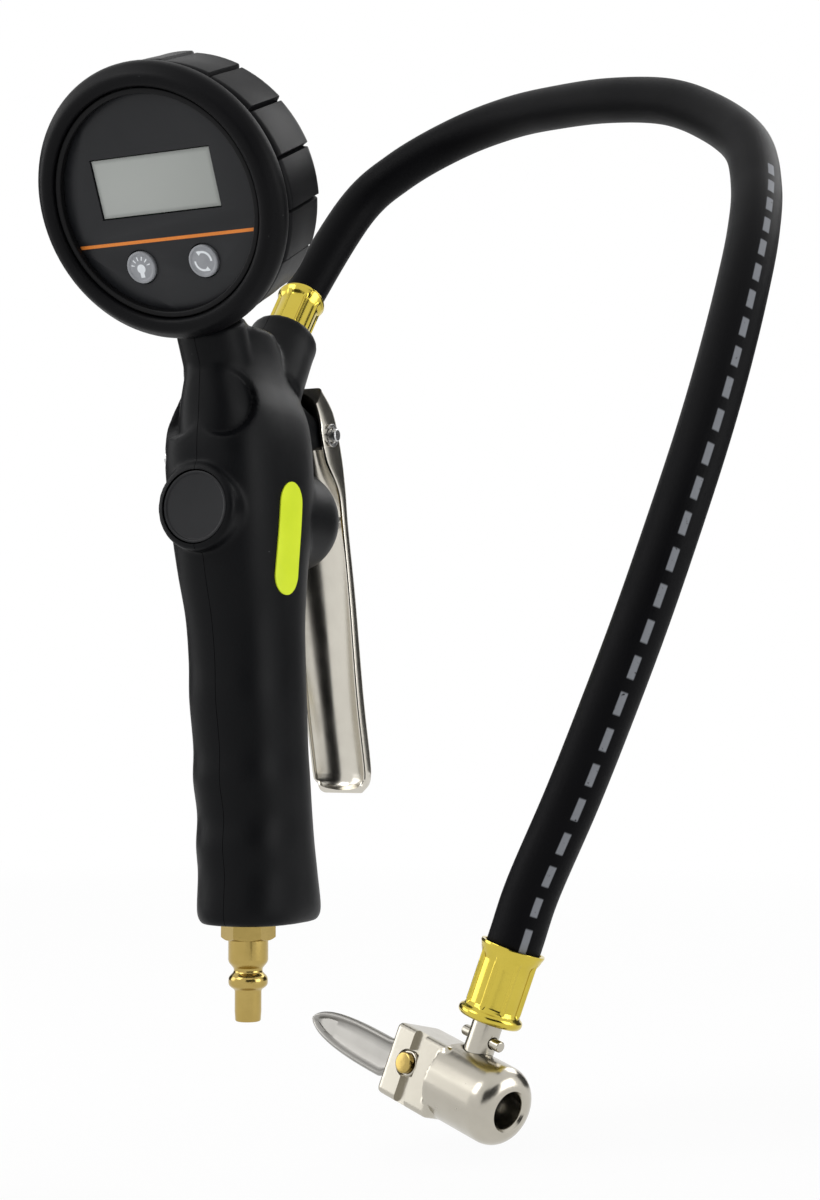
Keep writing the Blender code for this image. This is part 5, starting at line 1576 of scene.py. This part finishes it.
@dataclass
class HoseLine:
    """Whip hose with a crimped ferrule on each end."""

    radius: float = 0.0065
    route: Rows = (
        (0.0104, 0.0491, 0.2536),
        (0.0239, 0.0539, 0.2662),
        (0.0440, 0.0540, 0.2745),
        (0.0651, 0.0481, 0.2772),
        (0.0859, 0.0370, 0.2753),
        (0.1081, 0.0236, 0.2712),
        (0.1303, 0.0106, 0.2647),
        (0.1482, -0.0029, 0.2542),
        (0.1618, -0.0177, 0.2418),
        (0.1692, -0.0339, 0.2269),
        (0.1733, -0.0501, 0.2113),
        (0.1746, -0.0642, 0.1941),
        (0.1738, -0.0766, 0.1743),
        (0.1713, -0.0859, 0.1552),
        (0.1665, -0.0934, 0.1336),
        (0.1602, -0.0978, 0.1123),
        (0.1529, -0.1004, 0.0919),
        (0.1445, -0.1010, 0.0718),
        (0.1350, -0.1012, 0.0513),
    )
    end: Point = (0.1311, -0.1027, 0.0390)
    tail: float = 0.0170
    length: float = 0.496
    ferrule_radius: float = 0.0072
    ferrule_length: float = 0.0180
    ferrule_start: float = -0.0030
    ferrule_socket: float = 0.0022
    ferrule_bore: float = 0.0040
    bead: float = 0.0013
    crimp_dip: float = 0.00058
    crimp_ridge: float = 0.00018
    gripped: float = 0.0058
    crimps: int = 8
    crimp_sides: int = 28

    def __post_init__(self) -> None:
        """Works out the direction of the far end and how deep the hose sits in a ferrule."""
        self.up = (Vector(self.route[-1]) - Vector(self.end)).normalized()
        self.inside = self.ferrule_length - self.ferrule_socket - GAP

    def path(self) -> list[Vector]:
        """Lays the hose's centre line.

        Returns:
            Points from the gun to the chuck.
        """
        start = PORT + PORT_AXIS * (self.ferrule_start + self.ferrule_socket + GAP)
        lead = PORT + PORT_AXIS * (self.ferrule_start + self.ferrule_length + 0.0015)
        end = Vector(self.end)
        guides = [start, lead, *map(Vector, self.route), end, end - self.up * self.tail]
        return [Vector(row) for row in curve_rows([tuple(point) for point in guides], 10)]

    def tube(self) -> Obj:
        """Builds the hose, with texture coordinates that run along and around it.

        Returns:
            The hose.
        """
        path, sides = self.path(), 40
        last = len(path) - 1
        tangents = [(path[min(i + 1, last)] - path[max(i - 1, 0)]).normalized() for i in range(last + 1)]
        travel = [0.0]
        for before, after in zip(path, path[1:]):
            travel.append(travel[-1] + (after - before).length)
        faces = bmesh.new()
        uv = faces.loops.layers.uv.new("hose")
        rings: list = [None] * (last + 1)
        spoke = Vector((0.438, -0.898, 0.0))
        for i in range(last, -1, -1):
            spoke = (spoke - tangents[i] * spoke.dot(tangents[i])).normalized()
            other = tangents[i].cross(spoke)
            out = min(travel[i], travel[-1] - travel[i]) - self.inside
            radius = self.gripped + (self.radius - self.gripped) * smooth(-0.0014, -0.0002, out)
            angles = [2.0 * pi * k / sides - pi for k in range(sides)]
            rings[i] = [faces.verts.new(path[i] + (spoke * cos(a) + other * sin(a)) * radius) for a in angles]
        for i in range(last):
            for k in range(sides):
                spots = ((i, k), (i, k + 1), (i + 1, k + 1), (i + 1, k))
                face = faces.faces.new([rings[row][column % sides] for row, column in spots])
                for loop, (row, column) in zip(face.loops, spots):
                    loop[uv].uv = (travel[row], column / sides)
        faces.faces.new(rings[0])
        faces.faces.new(rings[-1])
        return add("hose_tube", faces, None, 60.0)

    def ferrule(self, name: str, place: Matrix, proud: float) -> Obj:
        """Crimped ferrule: rolled bead at the fitting, flared mouth at the hose, ribs between.

        Args:
            name: Name of the piece.
            place: Its frame, with Z out of the fitting.
            proud: How far the bead stands out.

        Returns:
            The ferrule.
        """
        r, length, size = self.ferrule_radius, self.ferrule_length, self.bead
        wall = r - 0.0003
        grip, socket = self.gripped + GAP, self.ferrule_socket
        # radius, height, share of the crimps
        rows = [(self.ferrule_bore, 0.0, 0.0), (r - 0.0012, 0.0, 0.0)]
        for angle in (-pi / 2.0 + pi * 0.86 * i / 10 for i in range(11)):
            rows.append((r + proud - size + size * cos(angle), size + size * sin(angle), 0.0))
        for t in (i / 6.0 for i in range(1, 7)):
            rows.append((wall - 0.0002 * (1.0 - t), 0.0026 + 0.0012 * t, smooth(0.0, 1.0, t)))
        for t in (i / 8.0 for i in range(1, 9)):
            rows.append((wall, 0.0038 + (length - 0.0078) * t, 1.0))
        for t in (i / 7.0 for i in range(1, 8)):
            rows.append((wall + 0.0008 * t**2, length - 0.0040 + 0.0036 * t, 1.0 - smooth(0.0, 0.6, t)))
        rows += [(r + 0.0004, length, 0.0), (self.radius + 0.0003, length, 0.0)]
        rows += [(self.radius + 0.0002, length - 0.0008, 0.0), (grip, length - 0.0018, 0.0)]
        rows += [(grip, socket, 0.0), (self.ferrule_bore, socket, 0.0)]
        spokes = []
        for i in range(self.crimps * self.crimp_sides):
            phase = abs((i % self.crimp_sides) / self.crimp_sides - 0.5) * 2.0
            relief = self.crimp_ridge * smooth(0.80, 0.98, phase) - self.crimp_dip * smooth(0.94, 0.76, phase)
            spokes.append((2.0 * pi * i / (self.crimps * self.crimp_sides), relief))
        rings = []
        for radius, z, share in rows:
            spots = [(radius + d * share, a) for a, d in spokes]
            rings.append([(reach * cos(a), reach * sin(a), z) for reach, a in spots])
        return add(name, skin(rings, True), place, 50.0)

    def build(self, chuck_pieces: Sequence[Obj], chuck_low: Vector) -> list[Obj]:
        """Hose and both ferrules.

        Args:
            chuck_pieces: Pieces that hang on the hose's far end.
            chuck_low: Lower end of the chuck's ferrule.

        Returns:
            The pieces.
        """
        gun_place = axes(PORT + PORT_AXIS * self.ferrule_start, RIGHT, PORT_AXIS)
        gun = self.ferrule("gun_ferrule_skin", gun_place, 0.0004)
        far = self.ferrule("chuck_ferrule_skin", axes(chuck_low, RIGHT, self.up), 0.0005)
        dress(gun, Look.FERRULE, Body.GUN, "brass", "gun_ferrule")
        dress(far, Look.FERRULE, Body.GUN, "brass", "chuck_ferrule")
        hose = dress(self.tube(), Look.HOSE, Body.GUN, "black_rubber", "hose")
        riders = [far, *chuck_pieces]
        riders += [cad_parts[name] for name in ("chuck_seal", "chuck_jaw", "valve_depressor")]
        [tuple(point) for point in self.path()]
        return [hose, gun, far]


@dataclass
class Chuck:
    """Clip-on chuck: stem, body, thumb lever, its pin and collar.

    U runs from the stem's axis to the nose.
    """

    nose_direction: Point = (0.8967, -0.3728, -0.2387)
    radius: float = 0.0093
    nose_u: float = 0.0150
    nose_round: float = 0.0046
    bore: float = 0.0042
    bore_depth: float = 0.0130
    air_radius: float = 0.00255
    shoulder_u: float = -0.0030
    block_length: float = 0.0181
    block_half: float = 0.0069
    block_top: float = 0.0080
    block_bottom: float = -0.0094
    melt_size: float = 0.00032
    jaw_size: Point = (0.0065, 0.0027, 0.0044)
    pin_share: float = 0.62
    groove_width: float = 0.0036
    groove_depth: float = 0.0014
    slot_half: float = 0.0036
    slot_depth: float = 0.0130
    stem_radius: float = 0.0039
    stem_length: float = 0.0100
    stem_seat: float = 0.0030
    feed_radius: float = 0.0017
    cross_radius: float = 0.0013
    cross_half: float = 0.0062
    cross_rise: float = 0.0028
    pin_radius: float = 0.0019
    head_radius: float = 0.0025
    collar: float = 0.0030
    spoon_length: float = 0.0360
    spoon_half: float = 0.0046
    spoon_drop: float = 0.0028
    spoon_taper: float = 0.37
    spoon_rim: float = 0.0011
    spoon_back: float = 0.0012
    arm_half: float = 0.0032
    arm_high: float = 0.0030
    hub: float = 0.0042

    def __post_init__(self) -> None:
        """Works out the chuck's frames from the end of the hose."""
        hose = HoseLine()
        drop = hose.tail + hose.ferrule_length - hose.inside + self.stem_length + self.radius - self.stem_seat
        self.frame = axes(Vector(hose.end) - hose.up * drop, Vector(self.nose_direction), hose.up)
        self.along = self.frame @ axes(Vector(), UP, RIGHT)
        self.rear_u = self.shoulder_u - self.block_length
        self.pin_u = self.shoulder_u - self.block_length * self.pin_share
        self.across = self.frame @ axes(Vector((self.pin_u, 0.0, 0.0)), RIGHT, FORWARD)
        self.groove_floor = -self.block_half + self.groove_depth
        self.top = self.radius - self.stem_seat
        self.ferrule_low = self.frame @ Vector((0.0, 0.0, self.top + self.stem_length))

    def body(self) -> Obj:
        """Builds the die-cast body: round nose, slotted block, groove and mouth.

        Returns:
            The body.
        """
        tip = rounded(self.radius, self.nose_u, self.nose_round, 8)
        nose = [(self.radius, self.shoulder_u - 0.002), *tip]
        low = (self.rear_u, -self.block_half, self.block_bottom)
        block = add("block", box(low, (self.shoulder_u, self.block_half, self.block_top)), self.frame)
        forms = [add("nose", turned(nose, 96), self.along), bevel(block, 0.0013, 4)]
        body = melt("chuck_body_skin", forms, self.melt_size, 3)
        floor = self.nose_u - self.bore_depth
        mouth = (
            (self.bore, floor),
            (self.bore, self.nose_u - 0.0008, 0.0004),
            (self.bore + 0.0012, self.nose_u + 0.0006),
        )
        groove_end = self.pin_u + self.collar + GAP
        groove = box(
            (groove_end - self.groove_width, -self.block_half - 0.01, self.block_bottom - 0.01),
            (groove_end, self.groove_floor, self.block_top + 0.01),
        )
        tall = self.hub + 0.0012
        slot_end = self.rear_u + self.slot_depth
        slot = box((self.rear_u - 0.01, -self.slot_half, -tall), (slot_end, self.slot_half, tall))
        jaw_u, jaw_half, jaw_high = self.jaw_size
        jaw_top = -self.bore + 0.0004 + GAP
        jaw = box((floor - GAP, -jaw_half, jaw_top - jaw_high), (floor + jaw_u, jaw_half, jaw_top))
        cutters = [add("cut", faces, self.frame) for faces in (groove, slot, jaw)]
        cutters += [
            rod(self.pin_radius + RUNNING, -THROUGH, THROUGH, self.across, 48),
            rod(self.collar + GAP, -THROUGH, self.groove_floor, self.across, 48),
            lathe("mouth", mouth, self.along, 72),
            rod(self.air_radius, floor - 0.0075, self.nose_u, self.along, 40),
            rod(self.stem_radius, self.top - GAP, 0.05, self.frame, 48),
            rod(self.feed_radius, 0.0, 0.05, self.frame, 32),
        ]
        return dress(shade(carve(body, cutters), 30.0), Look.NICKEL, Body.GUN, "nickel", "chuck_body")

    def stem(self) -> list[Obj]:
        """Turns the hose stem and its cross pin.

        Returns:
            Both pieces.
        """
        low, high = self.top, self.top + self.stem_length + 0.0022 - GAP
        r, bore = self.stem_radius - GAP, self.feed_radius
        corners = ((r, low, 0.0002), (r, high, 0.0003), (bore, high, 0.0002), (bore, low, 0.0002))
        stem = lathe("chuck_stem_skin", corners, self.frame, 56, True)
        axis = self.frame @ axes(Vector((0.0, 0.0, self.radius + self.cross_rise)), UP, RIGHT)
        carve(stem, [rod(0.0015, -THROUGH, THROUGH, axis, 32)])
        r, end = self.cross_radius, self.cross_half
        corners = ((0.0004, -end), (r, -end, 0.0004), (r, end, 0.0004), (0.0004, end))
        pin = lathe("stem_cross_pin_skin", corners, axis, 32)
        return [
            dress(stem, Look.NICKEL, Body.GUN, "nickel", "chuck_stem"),
            dress(pin, Look.NICKEL, Body.GUN, "steel", "stem_cross_pin"),
        ]

    def spoon(self) -> Obj:
        """Builds the thumb lever: a dished spoon on a narrow arm with a hub.

        Returns:
            The lever.
        """
        start = self.pin_u - self.hub - 0.001 + 0.0045
        span = self.spoon_length + 0.0045
        rings = []
        for i in range(65):
            share = 1.0 - (1.0 - i / 64) ** 1.35
            u = start - span * share
            widen = smooth(0.0, 1.0, (self.rear_u - GAP - u) / 0.0070)
            half = self.arm_high + (self.spoon_half - self.arm_high) * widen
            taper = max((share - self.spoon_taper) / (1.0 - self.spoon_taper), 0.0)
            half = max(half * 1.06 * max(1.0 - taper**2.6, 0.0) ** 0.45, 0.0005)
            rim, back = self.spoon_rim * min(widen + 0.2, 1.0), self.spoon_back
            edge = min(0.0008, half * 0.4)
            inside = half - edge
            points = []
            for angle in (pi / 2.0 - pi * k / 8 for k in range(9)):
                v = (back - rim) / 2.0 + (back + rim) / 2.0 * sin(angle)
                points.append((v, inside + edge * cos(angle)))
            dish = 1.0 - smooth(0.950, 0.985, share)
            for depth, inward in ((0.08, 0.25), (0.45, 0.7), (0.82, 1.2)):
                points.append((rim * (depth * dish - 1.0), inside - edge * inward))
            points += [(rim * (dish - 1.0), inside * part) for part in (0.62, 0.25)]
            middle = -self.spoon_drop * widen
            ring = [(u, v, middle + w) for v, w in points] + [(u, v, middle - w) for v, w in reversed(points)]
            rings.append(ring)
        spoon = add("chuck_lever_skin", skin(rings), self.frame, 50.0)
        carve(spoon, [rod(self.hub, -self.arm_half, self.arm_half, self.across, 56)], "UNION")
        carve(spoon, [rod(self.pin_radius + RUNNING, -THROUGH, THROUGH, self.across, 48)])
        # The lever's darker nickel colour is painted shade of its dish.
        return dress(spoon, Look.SPOON_SHADED, Body.THUMB, "nickel", "chuck_lever")

    def pin(self) -> list[Obj]:
        """Turns the brass lever pin and the collar that sits in the groove.

        Returns:
            Both pieces.
        """
        seat, high = self.groove_floor - 0.0010, self.groove_floor - GAP
        face, end = -self.block_half - 0.0012, self.block_half + 0.0004
        r, hole = self.pin_radius, self.pin_radius + GAP
        corners = (
            (0.0004, face),
            (self.head_radius, face, 0.0005),
            (self.head_radius, seat - GAP),
            (r, seat - GAP),
            (r, end, 0.0004),
            (0.0004, end),
        )
        pin = lathe("chuck_lever_pin_skin", corners, self.across, 56)
        ring = ((self.collar, seat, 0.0004), (self.collar, high), (hole, high), (hole, seat, 0.0002))
        collar = lathe("pin_collar_skin", ring, self.across, 56, True)
        return [
            dress(pin, Look.PLUG, Body.GUN, "brass", "chuck_lever_pin"),
            dress(collar, Look.NICKEL, Body.GUN, "steel", "pin_collar"),
        ]

    def build(self) -> list[Obj]:
        """All the pieces of the chuck that show."""
        return [self.body(), *self.stem(), self.spoon(), *self.pin()]


# ---------------------------------------------------------------- the whole


def main() -> None:
    """Builds the studio and every sub-assembly in order."""
    logging.basicConfig(level=logging.INFO)
    bpy.context.scene.view_settings.view_transform = "Standard"
    Studio().build()
    for look, names in CARRIED.items():
        for name in names.split():
            look.cover(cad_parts[name])
    chuck = Chuck()
    chuck_pieces = chuck.build()
    made = HoseLine().build(chuck_pieces, chuck.ferrule_low)
    for assembly in (Casing(), Gauge(), Trigger(), ValveSpring(), InletPlug()):
        made += assembly.build()
    log.info("%d pieces", len(made) + len(chuck_pieces))
    bpy.context.view_layer.update()


if __name__ == "__main__":
    main()
